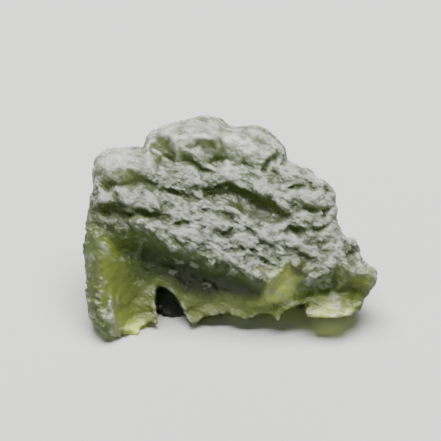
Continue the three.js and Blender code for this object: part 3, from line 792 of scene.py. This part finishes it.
    @staticmethod
    def _largest_part(place: np.ndarray, faces: np.ndarray) -> tuple[np.ndarray, np.ndarray]:
        """Leaves out specks and bubbles.

        Args:
            place: The corners.
            faces: The faces, as the numbers of their corners.

        Returns:
            The corners and faces of the largest joined part.
        """
        label = np.arange(len(place))
        while True:
            lower = label.copy()
            np.minimum.at(lower, faces.ravel(), np.repeat(label[faces].min(1), faces.shape[1]))
            lower = lower[lower]
            if (lower == label).all():
                break
            label = lower
        kept = label == np.bincount(label).argmax()
        number = np.cumsum(kept) - 1
        return place[kept], number[faces[kept[faces[:, 0]]]]


class Tree:
    """A small helper that adds nodes to a tree and joins them by name."""

    def __init__(self, tree: bpy.types.NodeTree) -> None:
        """Keeps the tree to add to."""
        self.tree = tree

    def add(self, kind: str, label: str = "", **settings: object) -> bpy.types.Node:
        """Adds one node.

        Args:
            kind: Its type name.
            label: What it is for.
            **settings: Its own settings, such as an operation.

        Returns:
            The node.
        """
        node = self.tree.nodes.new(kind)
        node.label = label
        for name, value in settings.items():
            setattr(node, name, value)
        return node

    def put(self, node: bpy.types.Node, name: str | int, value: object) -> None:
        """Sets an input, or joins it to an output socket.

        Args:
            node: The node.
            name: The input's name or number.
            value: Its value, or the socket.
        """
        socket = node.inputs[name]
        if isinstance(value, Socket):
            self.tree.links.new(value, socket)
        else:
            socket.default_value = value

    def maths(self, operation: str, a: object, b: object) -> Socket:
        """Adds a Math node.

        Args:
            operation: What it does.
            a: Its first value or socket.
            b: Its second one.

        Returns:
            Its result.
        """
        node = self.add("ShaderNodeMath", operation=operation)
        self.put(node, 0, a)
        self.put(node, 1, b)
        return node.outputs[0]

    def ramp(self, value: object, given: Span, made: Span = (0.0, 1.0)) -> Socket:
        """Adds a clamped Map Range node.

        Args:
            value: The value or socket that it reads.
            given: From where to where that goes.
            made: From where to where the result goes.

        Returns:
            Its result.
        """
        node = self.add("ShaderNodeMapRange", clamp=True)
        self.put(node, "Value", value)
        for name, number in zip(("From Min", "From Max", "To Min", "To Max"), (*given, *made)):
            self.put(node, name, number)
        return node.outputs["Result"]

    def swing(self, value: object, half: float, amount: float) -> Socket:
        """Adds a ramp that makes 0.5 - half into -amount and 0.5 + half into amount."""
        return self.ramp(value, (0.5 - half, 0.5 + half), (-amount, amount))

    def noise(
        self, label: str, place: Socket, scale: float, detail: float = 4.0, rough: float = 0.5
    ) -> Socket:
        """Adds a Noise Texture node.

        Args:
            label: What it is for.
            place: The socket with the place.
            scale: Its scale, per metre.
            detail: How many finer layers it has.
            rough: How strong they are.

        Returns:
            Its value, about 0.5.
        """
        node = self.add("ShaderNodeTexNoise", label)
        for name, value in (("Vector", place), ("Scale", scale), ("Detail", detail), ("Roughness", rough)):
            self.put(node, name, value)
        return node.outputs["Fac"]

    def blend(self, share: object, first: object, second: object) -> Socket:
        """Adds a colour Mix node.

        Args:
            share: The share of the second colour.
            first: The first colour or socket.
            second: The second one.

        Returns:
            Its colour.
        """
        node = self.add("ShaderNodeMix", data_type="RGBA")
        for index, value in ((0, share), (6, first), (7, second)):
            self.put(node, index, (*value, 1.0) if isinstance(value, tuple) else value)
        return node.outputs[2]


@dataclass(frozen=True)
class GlassFinish:
    """What the stone's glass looks like.

    Args:
        ior: Its refractive index.
        transmission: How much of it is clear.
        absorption: The density of its colour, per metre.
        hue: The colour that the density leaves.
        skin: The bare skin's tint.
        sheen_film: Its tint above the ledge, a painted sheen that lies over the upper face.
        shade: Its painted shade, darker in hollows, creases and over deep glass.
        glow: Its painted glow, lighter where the glass is thin, as if lit through.
        frost_and_sheen: Its tint where it is frosted, and where it has painted sheen and painted highlights.
        cave_shade: The skin's painted shade in the hollow under the lip.
        smooth: Its roughness where it is smoothest.
        rough: Its roughness where it is frosted.
        bloom: How much of a second, dull reflection the frost has.
        bloom_rough: The roughness of that reflection.
        specular: How strong its reflections are, where 0.5 is plain glass.
        striae: The share of striae in the micro relief, whose rest is grains.
        chips: How high the small chips stand in it.
        micro_deep: The depth of the micro relief, in metres.
        stretch: How much longer the striae are along the flow.
        patch_scale: The scale of the streaks of frost, per metre, as of all that follow.
        cloud_scale: That of its clouds.
        stria_scale: That of the striae.
        grain_scale: That of the grains.
        chip_scale: That of the chips.
        spread_scale: That of the places where the chips stand out.
        streak_frost: How much the streaks add to the frost or take from it.
        cloud_frost: How much the clouds do.
        relief_frost: How much the micro relief does.
        frost_power: How sharply the frost sets in.
        speckle_glint: The painted glints of the few chips that catch the light.
        speckle_in_glow: The share of it that is left where the glass glows.
        least_relief: The share of the micro relief that is left where the skin is calmest.
        least_chips: The share of the chips' height that is left between their places.
    """

    ior: float = 1.5
    transmission: float = 0.78
    absorption: float = 300.0
    hue: Colour = (0.47, 0.55, 0.1)
    skin: Colour = (0.16, 0.22, 0.035)
    # A painted sheen over the upper face, above the ledge.
    sheen_film: Colour = (0.13, 0.16, 0.075)
    # Painted shade, darker in hollows, creases and over deep glass.
    shade: Colour = (0.055, 0.07, 0.008)
    # Painted glow, lighter where the glass is thin.
    glow: Colour = (0.82, 0.96, 0.2)
    # Frost, with painted sheen and painted highlights.
    frost_and_sheen: Colour = (0.52, 0.54, 0.46)
    # Painted shade on the wall in the hollow under the lip.
    cave_shade: Colour = (0.01, 0.012, 0.006)
    smooth: float = 0.38
    rough: float = 0.5
    bloom: float = 1.0
    bloom_rough: float = 0.55
    specular: float = 0.15
    striae: float = 0.45
    chips: float = 0.3
    micro_deep: float = 0.0006
    stretch: float = 1.8
    patch_scale: float = 900.0
    cloud_scale: float = 600.0
    stria_scale: float = 2600.0
    grain_scale: float = 2800.0
    chip_scale: float = 2100.0
    spread_scale: float = 330.0
    streak_frost: float = 0.25
    cloud_frost: float = 0.4
    relief_frost: float = 0.45
    frost_power: float = 1.5
    # Painted glints on a few chips.
    speckle_glint: float = 0.6
    speckle_in_glow: float = 0.2
    least_relief: float = 0.15
    least_chips: float = 0.15


class GlassMaterial:
    """The green glass: clear and absorbing within, frosted on its ridges, with painted sheen, shade and glow
    in its colour.
    """

    def __init__(self, finish: GlassFinish, flow: tuple[float, float, float]) -> None:
        """Keeps the finish, and the way that the glass once flowed."""
        self.finish = finish
        self.flow = flow

    def build(self) -> bpy.types.Material:
        """Makes the material.

        Returns:
            The material.
        """
        finish = self.finish
        material = bpy.data.materials.new("green_glass")
        material.use_nodes = True
        tree = Tree(material.node_tree)
        material.node_tree.nodes.clear()
        output = tree.add("ShaderNodeOutputMaterial")
        shader = tree.add("ShaderNodeBsdfPrincipled", "glass")
        tree.put(output, "Surface", shader.outputs[0])
        shader.inputs["IOR"].default_value = finish.ior
        shader.inputs["Metallic"].default_value = 0.0
        shader.inputs["Transmission Weight"].default_value = finish.transmission
        shader.inputs["Specular IOR Level"].default_value = finish.specular
        shader.inputs["Coat Roughness"].default_value = finish.bloom_rough

        marks = {
            mark: tree.add("ShaderNodeAttribute", mark.value, attribute_name=mark.value).outputs["Fac"]
            for mark in Mark
            if mark is not Mark.FREE
        }
        place = tree.add("ShaderNodeTexCoord").outputs["Object"]
        squeeze = tree.add("ShaderNodeMapping", "flow", vector_type="TEXTURE")
        tree.put(squeeze, "Vector", place)
        squeeze.inputs["Rotation"].default_value = Vector(self.flow).to_track_quat("X", "Z").to_euler()
        squeeze.inputs["Scale"].default_value = (finish.stretch, 1.0, 1.0)
        along = squeeze.outputs[0]
        height, glints = self._height(tree, place, along, marks[Mark.CALM])
        frost_and_sheen_share = self._frost_and_sheen_share(tree, place, along, marks, height, glints)
        # Painted sheen above the ledge.
        skin = tree.blend(marks[Mark.SHEEN_FILM], finish.skin, finish.sheen_film)
        # Painted shade.
        skin = tree.blend(marks[Mark.SHADE], skin, finish.shade)
        # Painted glow where the glass is thin.
        skin = tree.blend(marks[Mark.GLOW], skin, finish.glow)
        # Frost with painted sheen and highlights.
        skin = tree.blend(frost_and_sheen_share, skin, finish.frost_and_sheen)
        # Painted shade under the lip.
        skin = tree.blend(marks[Mark.CAVE_SHADE], skin, finish.cave_shade)
        tree.put(shader, "Base Color", skin)
        tree.put(shader, "Roughness", tree.ramp(frost_and_sheen_share, (0.0, 1.0), (finish.smooth, finish.rough)))
        tree.put(shader, "Coat Weight", tree.ramp(frost_and_sheen_share, (0.0, 1.0), (0.0, finish.bloom)))
        relief = tree.add("ShaderNodeBump", "micro relief")
        tree.put(relief, "Height", height)
        tree.put(relief, "Strength", 1.0)
        tree.put(relief, "Distance", finish.micro_deep)
        tree.put(shader, "Normal", relief.outputs[0])
        tree.put(shader, "Coat Normal", relief.outputs[0])

        volume = tree.add("ShaderNodeVolumeAbsorption", "colour of the glass")
        volume.inputs["Color"].default_value = (*finish.hue, 1.0)
        volume.inputs["Density"].default_value = finish.absorption
        tree.put(output, "Volume", volume.outputs[0])
        return material

    def _frost_and_sheen_share(
        self,
        tree: Tree,
        place: Socket,
        along: Socket,
        marks: dict[Mark, Socket],
        height: Socket,
        glints: Socket,
    ) -> Socket:
        """Adds the mottling of the frost and its painted sheen.

        Args:
            tree: The tree to add to.
            place: The socket with the place on the stone.
            along: The same, squeezed along the flow.
            marks: The sockets with the marks.
            height: The socket with the height of the micro relief.
            glints: The socket with the painted glints of the chips that catch the light.

        Returns:
            How much frost and painted sheen the skin has, from 0 to 1.
        """
        finish = self.finish
        streaks = tree.noise("patches", along, finish.patch_scale)
        clouds = tree.noise("clouds", place, finish.cloud_scale, 3.0)
        mottled = tree.maths("ADD", marks[Mark.FROST_AND_SHEEN], tree.swing(streaks, 0.2, finish.streak_frost))
        mottled = tree.maths("ADD", mottled, tree.swing(clouds, 0.15, finish.cloud_frost))
        mottled = tree.maths("ADD", mottled, tree.swing(height, 0.15, finish.relief_frost))
        clear_of_glow = tree.ramp(marks[Mark.GLOW], (0.1, 0.4), (1.0, finish.speckle_in_glow))
        mottled = tree.maths("ADD", mottled, tree.maths("MULTIPLY", glints, clear_of_glow))
        frost_and_sheen_share = tree.ramp(tree.maths("SUBTRACT", mottled, marks[Mark.CAVE_SHADE]), (0.0, 1.0))
        return tree.maths("POWER", frost_and_sheen_share, finish.frost_power)

    def _height(self, tree: Tree, place: Socket, along: Socket, calm: Socket) -> tuple[Socket, Socket]:
        """Adds the striae along the flow, the grains between them and the small chips.

        Args:
            tree: The tree to add to.
            place: The socket with the place on the stone.
            along: The same, squeezed along the flow.
            calm: The socket that says how calm the skin is there.

        Returns:
            Their height, about 0.5, and the painted glints of the few chips that catch the light.
        """
        finish = self.finish
        striae = tree.noise("striae", along, finish.stria_scale)
        grains = tree.noise("grains", place, finish.grain_scale, rough=0.65)
        chips = tree.add("ShaderNodeTexVoronoi", "chips")
        tree.put(chips, "Vector", along)
        tree.put(chips, "Scale", finish.chip_scale)
        spread = tree.noise("where the chips stand out", place, finish.spread_scale, 2.0)
        height = tree.maths("MULTIPLY", striae, finish.striae)
        height = tree.maths("ADD", height, tree.maths("MULTIPLY", grains, 1 - finish.striae))
        lump = tree.ramp(chips.outputs["Distance"], (0.0, 0.9), (0.5 * finish.chips, -0.5 * finish.chips))
        lump = tree.maths("MULTIPLY", lump, tree.ramp(spread, (0.35, 0.6), (finish.least_chips, 1.0)))
        height = tree.maths("ADD", height, lump)
        amount = tree.ramp(calm, (0.0, MOST_CALM), (1.0, finish.least_relief))
        height = tree.maths("ADD", 0.5, tree.maths("MULTIPLY", tree.maths("SUBTRACT", height, 0.5), amount))
        # Painted glints on a few chips.
        few = tree.ramp(chips.outputs["Color"], (0.64, 0.8), (0.0, finish.speckle_glint))
        middle = tree.ramp(chips.outputs["Distance"], (0.2, 0.42), (1.0, 0.0))
        return height, tree.maths("MULTIPLY", few, middle)


class EtchedSkin:
    """A Geometry Nodes relief that pushes the skin in and out by fine noise."""

    def __init__(self, material: bpy.types.Material, depth: float, size: float, seed: int) -> None:
        """Keeps what the relief needs.

        Args:
            material: The material that it sets.
            depth: How far it pushes, in metres.
            size: The size of its grain, in metres.
            seed: Which of the many patterns it is.
        """
        self.material = material
        self.values = {"Depth": depth, "Size": size, "Seed": float(seed)}

    def apply(self, stone: bpy.types.Object) -> None:
        """Puts the relief on the stone's mesh for good.

        Args:
            stone: The stone's object.
        """
        group = self._group()
        modifier = stone.modifiers.new("etched skin", "NODES")
        modifier.node_group = group
        for item in group.interface.items_tree:
            if item.item_type == "SOCKET" and item.in_out == "INPUT" and item.name in self.values:
                modifier[item.identifier] = self.values[item.name]
        graph = bpy.context.evaluated_depsgraph_get()
        mesh = bpy.data.meshes.new_from_object(stone.evaluated_get(graph))
        stone.modifiers.clear()
        stone.data = mesh

    def _group(self) -> bpy.types.NodeTree:
        """Makes the node tree.

        Returns:
            The tree.
        """
        group = bpy.data.node_groups.new("etched skin", "GeometryNodeTree")
        face = group.interface
        face.new_socket("Geometry", in_out="INPUT", socket_type="NodeSocketGeometry")
        for name in self.values:
            face.new_socket(name, in_out="INPUT", socket_type="NodeSocketFloat")
        face.new_socket("Geometry", in_out="OUTPUT", socket_type="NodeSocketGeometry")
        tree = Tree(group)
        given = tree.add("NodeGroupInput")
        made = tree.add("NodeGroupOutput")
        noise = tree.add("ShaderNodeTexNoise", "grain", noise_dimensions="4D")
        tree.put(noise, "Vector", tree.add("GeometryNodeInputPosition").outputs[0])
        tree.put(noise, "W", given.outputs["Seed"])
        tree.put(noise, "Scale", tree.maths("DIVIDE", 1.0, given.outputs["Size"]))
        tree.put(noise, "Detail", 3.0)
        free = tree.add("GeometryNodeInputNamedAttribute", "clear of the ground", data_type="FLOAT")
        tree.put(free, "Name", Mark.FREE.value)
        swell = tree.maths("SUBTRACT", noise.outputs["Fac"], 0.5)
        amount = tree.maths("MULTIPLY", swell, given.outputs["Depth"])
        amount = tree.maths("MULTIPLY", amount, free.outputs[0])
        push = tree.add("ShaderNodeVectorMath", operation="SCALE")
        tree.put(push, 0, tree.add("GeometryNodeInputNormal").outputs[0])
        tree.put(push, "Scale", amount)
        moved = tree.add("GeometryNodeSetPosition")
        tree.put(moved, "Geometry", given.outputs["Geometry"])
        tree.put(moved, "Offset", push.outputs[0])
        real = tree.add("GeometryNodeRealizeInstances")
        tree.put(real, "Geometry", moved.outputs[0])
        finish = tree.add("GeometryNodeSetMaterial")
        tree.put(finish, "Geometry", real.outputs[0])
        finish.inputs["Material"].default_value = self.material
        tree.put(made, "Geometry", finish.outputs[0])
        return group


class Skin:
    """The corners of the stone's mesh, with their neighbours and what lies behind them."""

    OPEN = 20.0
    START_IN = 0.0004

    def __init__(self, mesh: bpy.types.Mesh, soften: int) -> None:
        """Reads the mesh.

        Args:
            mesh: The stone's mesh.
            soften: How many rounds the ways that the corners face are softened by.
        """
        self.mesh = mesh
        self.count = len(mesh.vertices)
        place = np.zeros(self.count * 3, np.float32)
        mesh.vertices.foreach_get("co", place)
        self.place = place.reshape(-1, 3)
        ends = np.zeros(len(mesh.edges) * 2, np.int32)
        mesh.edges.foreach_get("vertices", ends)
        self.ends = ends.reshape(-1, 2)
        self.degree = np.bincount(ends, minlength=self.count)[:, None]
        normal = np.array([v.vector for v in mesh.vertex_normals], np.float32)
        facing = self.around(normal.astype(np.float64), soften)
        self.facing = facing / np.linalg.norm(facing, axis=1, keepdims=True)

    def around(self, values: np.ndarray, times: int) -> np.ndarray:
        """Spreads values to each corner's neighbours.

        Args:
            values: The values, in columns.
            times: How many rounds they are spread.

        Returns:
            The softened values, in columns.
        """
        for _ in range(times):
            total = np.zeros_like(values)
            for column in range(values.shape[1]):
                for a, b in ((0, 1), (1, 0)):
                    given = values[self.ends[:, b], column]
                    total[:, column] += np.bincount(self.ends[:, a], given, self.count)
            values = total / self.degree
        return values

    def thickness(self) -> np.ndarray:
        """Measures the glass behind the skin.

        Returns:
            How much glass lies straight behind each corner, in mm.
        """
        places = [corner.co.copy() for corner in self.mesh.vertices]
        tree = BVHTree.FromPolygons(places, [tuple(face.vertices) for face in self.mesh.polygons])
        thickness = np.full(self.count, self.OPEN)
        for index, (place, way) in enumerate(zip(places, self.facing)):
            inward = -Vector(way)
            reach = tree.ray_cast(place + inward * self.START_IN, inward)[3]
            if reach is not None:
                thickness[index] = reach / MM
        return thickness


@dataclass(frozen=True)
class FrostAndPaintedLight:
    """How the skin is marked with frost and painted light, from its own form and from the places in the
    lists of painted shade and glow, of haze and sheen, and of calm.

    A field that begins with frost, sheen, shade or glow says how much of that mark a thing gives or takes;
    sheen, shade and glow are painted, as are the highlights on the beads. Sizes are in mm, and rounds say
    over how many corners a value is softened.
    """

    crest_rounds: int = 10
    swell_rounds: int = 50
    facing_rounds: int = 12
    thin_rounds: int = 6
    tone_warp: float = 0.6
    tone_warp_size: float = 1.8
    tone_salt: int = 91
    bead_warp: float = 0.5
    bead_warp_size: float = 0.7
    bead_salt: int = 95
    face_over: Span = (-6, -4)  # out
    sky_over: Span = (0.6, 0.95)  # how level the skin lies
    ledge_over: Span = (-0.6, 1.2)  # up from the ledge
    bare_left: Span = (12.0, 13.6)  # across, to the left
    bare_left_end: Span = (16.4, 17.4)  # up
    # The painted sheen film is weaker on the sides and the back.
    sheen_film_behind: float = 0.3  # the share of the film that the sides and the back have
    shade_hollow: float = 0.6  # for each mm of a wide hollow
    shade_crease: float = 2.5  # for each mm of a small one
    glow_dimmed: float = 0.6  # for each share of a dark tone
    # Painted glow where the glass is thin.
    glow_thin: float = 0.22  # where the glass is thin
    thin_over: Span = (1.5, 9)  # thickness
    # Painted sheen above the ledge and on the skin that looks up.
    sheen_above: float = 0.48  # above the ledge
    sheen_skyward: float = 0.24  # on what looks up
    frost_crest: float = 2.2  # for each mm of a small crest
    frost_crest_above: float = 1.4  # the same, more above the ledge
    frost_swell: float = 0.5  # for each mm of a wide swell
    frost_shade: float = 0.8  # taken where it is dark
    frost_glow: float = 0.35  # taken where it glows
    frost_calm: float = 0.3  # taken where it is calm
    # Painted highlights on the beads.
    bead_highlight: float = 1.8  # on the beads
    frost_least: float = -0.4
    cave_edge: Span = (-0.3, 0.3)  # in from the lip
    cave_front: Span = (2.4, 3.2)  # in from the face plane
    cave_back: Span = (-7, -6)  # out
    free_by: float = 0.6  # how high above the ground the last grain is whole

    def put(self, mesh: bpy.types.Mesh, flat: np.ndarray) -> None:
        """Puts the marks on the mesh, each as an attribute.

        Args:
            mesh: The stone's mesh.
            flat: Its corners as (across, up, out), in mm.
        """
        skin = Skin(mesh, self.facing_rounds)
        on_face = smooth_step(flat[:, 2], *self.face_over)
        toned = wandering(flat, self.tone_warp, self.tone_warp_size, self.tone_salt)
        crest, swell = self._shape(skin)
        # Painted shade and painted glow from their places.
        shade_and_glow = [pad.rise * pad.share(toned[:, 0], toned[:, 1]) * on_face for pad in PAINTED_SHADE_AND_GLOW]
        # Painted shade, darker in hollows and creases.
        shade = -sum(np.minimum(tone, 0) for tone in shade_and_glow)
        shade = np.clip(shade - self.shade_hollow * swell - self.shade_crease * crest, 0, 1)
        # Painted glow, less where there is painted shade.
        glow = np.clip(sum(np.where(tone > 0, tone, self.glow_dimmed * tone) for tone in shade_and_glow), 0, 1)
        # Painted sheen film above the ledge, weaker on the sides and the back.
        above = self._above(toned) * (self.sheen_film_behind + (1 - self.sheen_film_behind) * on_face)
        calm = calmness(flat)
        skyward = smooth_step(skin.facing[:, 2], *self.sky_over)
        # Painted sheen above the ledge and on the skin that looks up, then frost on the crests.
        frost_and_sheen = self.sheen_above * above + self.sheen_skyward * skyward
        frost_and_sheen = frost_and_sheen + (self.frost_crest + self.frost_crest_above * above) * crest
        frost_and_sheen = frost_and_sheen + self.frost_swell * swell
        frost_and_sheen = frost_and_sheen - self.frost_shade * shade - self.frost_glow * glow
        # Pale haze, painted sheen and painted glow added to the frost, and frost taken off where the rise is
        # below 0.
        frost_and_sheen = frost_and_sheen + sum(pad.rise * pad.share(toned[:, 0], toned[:, 1]) for pad in HAZE_AND_SHEEN) * on_face
        frost_and_sheen = frost_and_sheen - self.frost_calm * calm * above
        # Painted highlights on the beads.
        frost_and_sheen = frost_and_sheen + self.bead_highlight * self._beads(flat) * on_face
        # Painted glow where the glass is thin.
        thin = 1 - smooth_step(skin.thickness(), *self.thin_over)
        thin = skin.around(thin[:, None], self.thin_rounds)[:, 0]
        marks = {
            Mark.FROST_AND_SHEEN: np.clip(frost_and_sheen, self.frost_least, 1),
            # Painted shade on the wall behind the lip.
            Mark.CAVE_SHADE: self._cave_shade(flat),
            Mark.GLOW: np.clip(glow + self.glow_thin * thin * on_face, 0, 1),
            Mark.SHADE: shade,
            Mark.CALM: calm,
            Mark.SHEEN_FILM: above,
            Mark.FREE: np.clip(skin.place[:, 2] / (self.free_by * MM), 0, 1),
        }
        for mark, values in marks.items():
            layer = mesh.attributes.new(mark.value, "FLOAT", "POINT")
            layer.data.foreach_set("value", values.astype(np.float32))

    def _shape(self, skin: Skin) -> tuple[np.ndarray, np.ndarray]:
        """Measures how far the skin stands out.

        Args:
            skin: The skin's corners and their neighbours.

        Returns:
            How far each corner stands out on its small crest and on its wider swell, in mm.
        """
        soft = skin.around(skin.place.astype(np.float64), self.crest_rounds)
        softer = skin.around(soft, self.swell_rounds)
        crest = skin.around(((skin.place - soft) * skin.facing).sum(1, keepdims=True), 1)[:, 0]
        return crest / MM, ((soft - softer) * skin.facing).sum(1) / MM

    def _above(self, toned: np.ndarray) -> np.ndarray:
        """Works out what is above the ledge.

        Args:
            toned: The places, moved about, one to a row.

        Returns:
            1 above the ledge, and 0 below it and on the bare left side.
        """
        above = smooth_step(-Outline(LEDGE).outside(toned[:, 0], toned[:, 1]), *self.ledge_over)
        low = 1 - smooth_step(toned[:, 1], *self.bare_left_end)
        return above * (1 - smooth_step(-toned[:, 0], *self.bare_left) * low)

    def _beads(self, flat: np.ndarray) -> np.ndarray:
        """Finds the beads in the great hollow.

        Args:
            flat: The corners as (across, up, out), in mm.

        Returns:
            1 in the middle of a bead and 0 outside them.
        """
        ragged = wandering(flat, self.bead_warp, self.bead_warp_size, self.bead_salt)
        beads = [pad for pad in PADS if pad.name.startswith("bead")]
        return sum(pad.share(ragged[:, 0], ragged[:, 1]) for pad in beads)

    def _cave_shade(self, flat: np.ndarray) -> np.ndarray:
        """Returns where the skin has painted shade, on the wall behind the lip."""
        lip = smooth_step(-Outline(LIP).outside(flat[:, 0], flat[:, 1]), *self.cave_edge)
        return lip * smooth_step(-flat[:, 2], *self.cave_front) * smooth_step(flat[:, 2], *self.cave_back)


@dataclass
class Moldavite:
    """The stone.

    Args:
        form: Its form.
        etching: Its finer etching.
        frost_and_painted_light: How its skin is marked with frost and with painted sheen, shade and glow.
        finish: What its glass looks like.
        step: The grid's spacing, in mm.
        inset: How far it stays inside the CAD solid's box, in metres.
        grain_deep: How deep the last grain of its skin is, in metres.
        grain_size: The size of that grain, in metres.
        grain_seed: Which of the many patterns it is.
        placing: The move and stretch from the form's own frame to the box, once it is built.
    """

    form: StoneForm
    etching: FineEtching
    frost_and_painted_light: FrostAndPaintedLight
    finish: GlassFinish
    step: float = 0.21
    inset: float = 0.00002
    grain_deep: float = 0.00012
    grain_size: float = 0.0007
    grain_seed: int = 7
    placing: Matrix = field(default_factory=Matrix)

    def build(self, low: Vector, high: Vector) -> bpy.types.Object:
        """Makes the stone in the CAD solid's box.

        Args:
            low: The box's lowest corner, in metres.
            high: Its highest corner.

        Returns:
            The stone's object.
        """
        flat, faces = SurfaceNet(self.form, self.etching, self.step).surface()
        corners = self.form.standing(flat)
        corners[:, 2] = np.maximum(corners[:, 2], 0)
        self._place(corners, low, high)
        mesh = bpy.data.meshes.new("moldavite_glass")
        mesh.vertices.add(len(corners))
        mesh.vertices.foreach_set("co", self._placed(corners).astype(np.float32).ravel())
        mesh.loops.add(faces.size)
        mesh.loops.foreach_set("vertex_index", faces.astype(np.int32).ravel())
        mesh.polygons.add(len(faces))
        mesh.polygons.foreach_set("loop_start", np.arange(0, faces.size, 4, dtype=np.int32))
        mesh.update(calc_edges=True)
        mesh.validate()
        self.frost_and_painted_light.put(mesh, flat)
        stone = bpy.data.objects.new("moldavite_glass", mesh)
        bpy.context.scene.collection.objects.link(stone)
        turn = math.radians(self.etching.grain_turn)
        flow = self.form.standing(np.array([math.cos(turn), math.sin(turn), 0.0]))
        glass = GlassMaterial(self.finish, tuple(flow)).build()
        EtchedSkin(glass, self.grain_deep, self.grain_size, self.grain_seed).apply(stone)
        self._fit(stone.data, low, high)
        stone.data.shade_smooth()
        log.info("stone: %d corners, %d faces", len(stone.data.vertices), len(stone.data.polygons))
        return stone

    def _place(self, corners: np.ndarray, low: Vector, high: Vector) -> None:
        """Keeps the move and the slight stretch from the form's own frame, in mm, to the box.

        Args:
            corners: The corners in that frame.
            low: The box's lowest corner, in metres.
            high: Its highest corner.
        """
        least, most = corners.min(0), corners.max(0)
        scale = (np.array(high) - np.array(low)) / (most - least)
        shift = np.array(low) - least * scale
        self.placing = Matrix.Translation(Vector(shift)) @ Matrix.Diagonal((*scale, 1.0))
        log.info("stretch to the box: %s", np.round(scale / MM, 4))

    def _placed(self, points: np.ndarray) -> np.ndarray:
        """Returns points of the form's own frame in the box, in metres."""
        matrix = np.array(self.placing)
        return points @ matrix[:3, :3].T + matrix[:3, 3]

    def _fit(self, mesh: bpy.types.Mesh, low: Vector, high: Vector) -> None:
        """Brings the finished skin back into the box.

        Args:
            mesh: The stone's finished mesh.
            low: The box's lowest corner, in metres.
            high: Its highest corner.
        """
        place = np.zeros(len(mesh.vertices) * 3, np.float32)
        mesh.vertices.foreach_get("co", place)
        place = place.reshape(-1, 3)
        inner_low, inner_high = np.array(low) + self.inset, np.array(high) - self.inset
        inner_low[2] = low[2]
        least, most = place.min(0), place.max(0)
        place = inner_low + (place - least) * (inner_high - inner_low) / (most - least)
        mesh.vertices.foreach_set("co", place.astype(np.float32).ravel())
        mesh.update()


@dataclass(frozen=True)
class Lamp:
    """One soft area light.

    Args:
        name: What it is for.
        azimuth: Its way round from the front, in degrees.
        elevation: Its height, in degrees.
        distance: How far away it is, in metres.
        size: Its width and height, in metres.
        power: Its power, in watts.
    """

    name: str
    azimuth: float
    elevation: float
    distance: float
    size: tuple[float, float]
    power: float


@dataclass
class Studio:
    """The pale floor, the lights and the camera.

    Args:
        lamps: The lights.
        floor_colour: The floor's colour.
        floor_rough: Its roughness.
        floor_half: Half its width, in metres.
        room_grey: How bright the room is.
        camera_distance: How far the camera is from the face plane, in metres.
        camera_clip: The nearest and farthest that it sees, in metres.
        view_width: How much of the face plane it sees, in mm.
        aim: Where it looks, as (across, up) on that plane, in mm.
    """

    lamps: tuple[Lamp, ...]
    floor_colour: Colour = (0.24, 0.24, 0.235)
    floor_rough: float = 0.7
    floor_half: float = 0.9
    room_grey: float = 0.06
    camera_distance: float = 0.65
    camera_clip: Span = (0.01, 5.0)
    view_width: float = 54.4
    aim: tuple[float, float] = (-1.07, 15.28)

    def build(self, stone: Moldavite) -> None:
        """Makes the studio round the stone.

        Args:
            stone: The stone.
        """
        self._floor()
        self._world()
        for lamp in self.lamps:
            self._lamp(lamp)
        self._camera(stone)

    def _floor(self) -> None:
        """Makes the floor, a wide sheet that the stone lies on."""
        mesh = bpy.data.meshes.new("floor")
        half = self.floor_half
        corners = [(-half, -half, 0), (half, -half, 0), (half, half, 0), (-half, half, 0)]
        mesh.from_pydata(corners, [], [(0, 1, 2, 3)])
        floor = bpy.data.objects.new("floor", mesh)
        bpy.context.scene.collection.objects.link(floor)
        material = bpy.data.materials.new("pale_floor")
        material.use_nodes = True
        shader = material.node_tree.nodes["Principled BSDF"]
        shader.inputs["Base Color"].default_value = (*self.floor_colour, 1.0)
        shader.inputs["Roughness"].default_value = self.floor_rough
        mesh.materials.append(material)

    def _world(self) -> None:
        """Gives the room an even grey light."""
        world = bpy.data.worlds.new("room")
        world.use_nodes = True
        background = world.node_tree.nodes["Background"]
        background.inputs["Color"].default_value = (self.room_grey,) * 3 + (1.0,)
        bpy.context.scene.world = world

    def _lamp(self, lamp: Lamp) -> None:
        """Hangs one lamp so that it faces the stone.

        Args:
            lamp: The lamp.
        """
        data = bpy.data.lights.new(lamp.name, "AREA")
        data.shape = "RECTANGLE"
        data.size, data.size_y = lamp.size
        data.energy = lamp.power
        turn, lift = math.radians(lamp.azimuth), math.radians(lamp.elevation)
        away = Vector((math.sin(turn) * math.cos(lift), -math.cos(turn) * math.cos(lift), math.sin(lift)))
        light = bpy.data.objects.new(lamp.name, data)
        light.location = away * lamp.distance
        light.rotation_euler = away.to_track_quat("Z", "Y").to_euler()
        bpy.context.scene.collection.objects.link(light)

    def _camera(self, stone: Moldavite) -> None:
        """Aims the camera squarely at the leaning face.

        Args:
            stone: The stone.
        """
        data = bpy.data.cameras.new("camera")
        data.sensor_width = 36.0
        data.lens = data.sensor_width * self.camera_distance / (self.view_width * MM)
        data.dof.use_dof = False
        data.clip_start, data.clip_end = self.camera_clip
        camera = bpy.data.objects.new("camera", data)
        bpy.context.scene.collection.objects.link(camera)
        form = stone.form
        target = stone.placing @ Vector(form.standing(np.array([*self.aim, 0.0])))
        out = Vector(form.standing(np.array([0.0, 0.0, 1.0])))
        camera.location = target + out * self.camera_distance
        camera.rotation_euler = out.to_track_quat("Z", "Y").to_euler()
        bpy.context.scene.camera = camera


LAMPS = (
    Lamp("sheen", 180, 78, 0.5, (0.45, 0.3), 18.0),
    Lamp("back glow", 180, 12, 0.45, (0.6, 0.12), 1.2),
    Lamp("front", -50, 25, 0.5, (0.3, 0.3), 1.0),
)


def main() -> None:
    """Builds the stone and its studio."""
    logging.basicConfig(level=logging.INFO, format="%(name)s: %(message)s")
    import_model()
    low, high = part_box("moldavite")

    stone = Moldavite(StoneForm(), FineEtching(), FrostAndPaintedLight(), GlassFinish())
    piece = stone.build(low, high)
    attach(piece, "root")
    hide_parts("moldavite")

    Studio(LAMPS).build(stone)


if __name__ == "__main__":
    main()
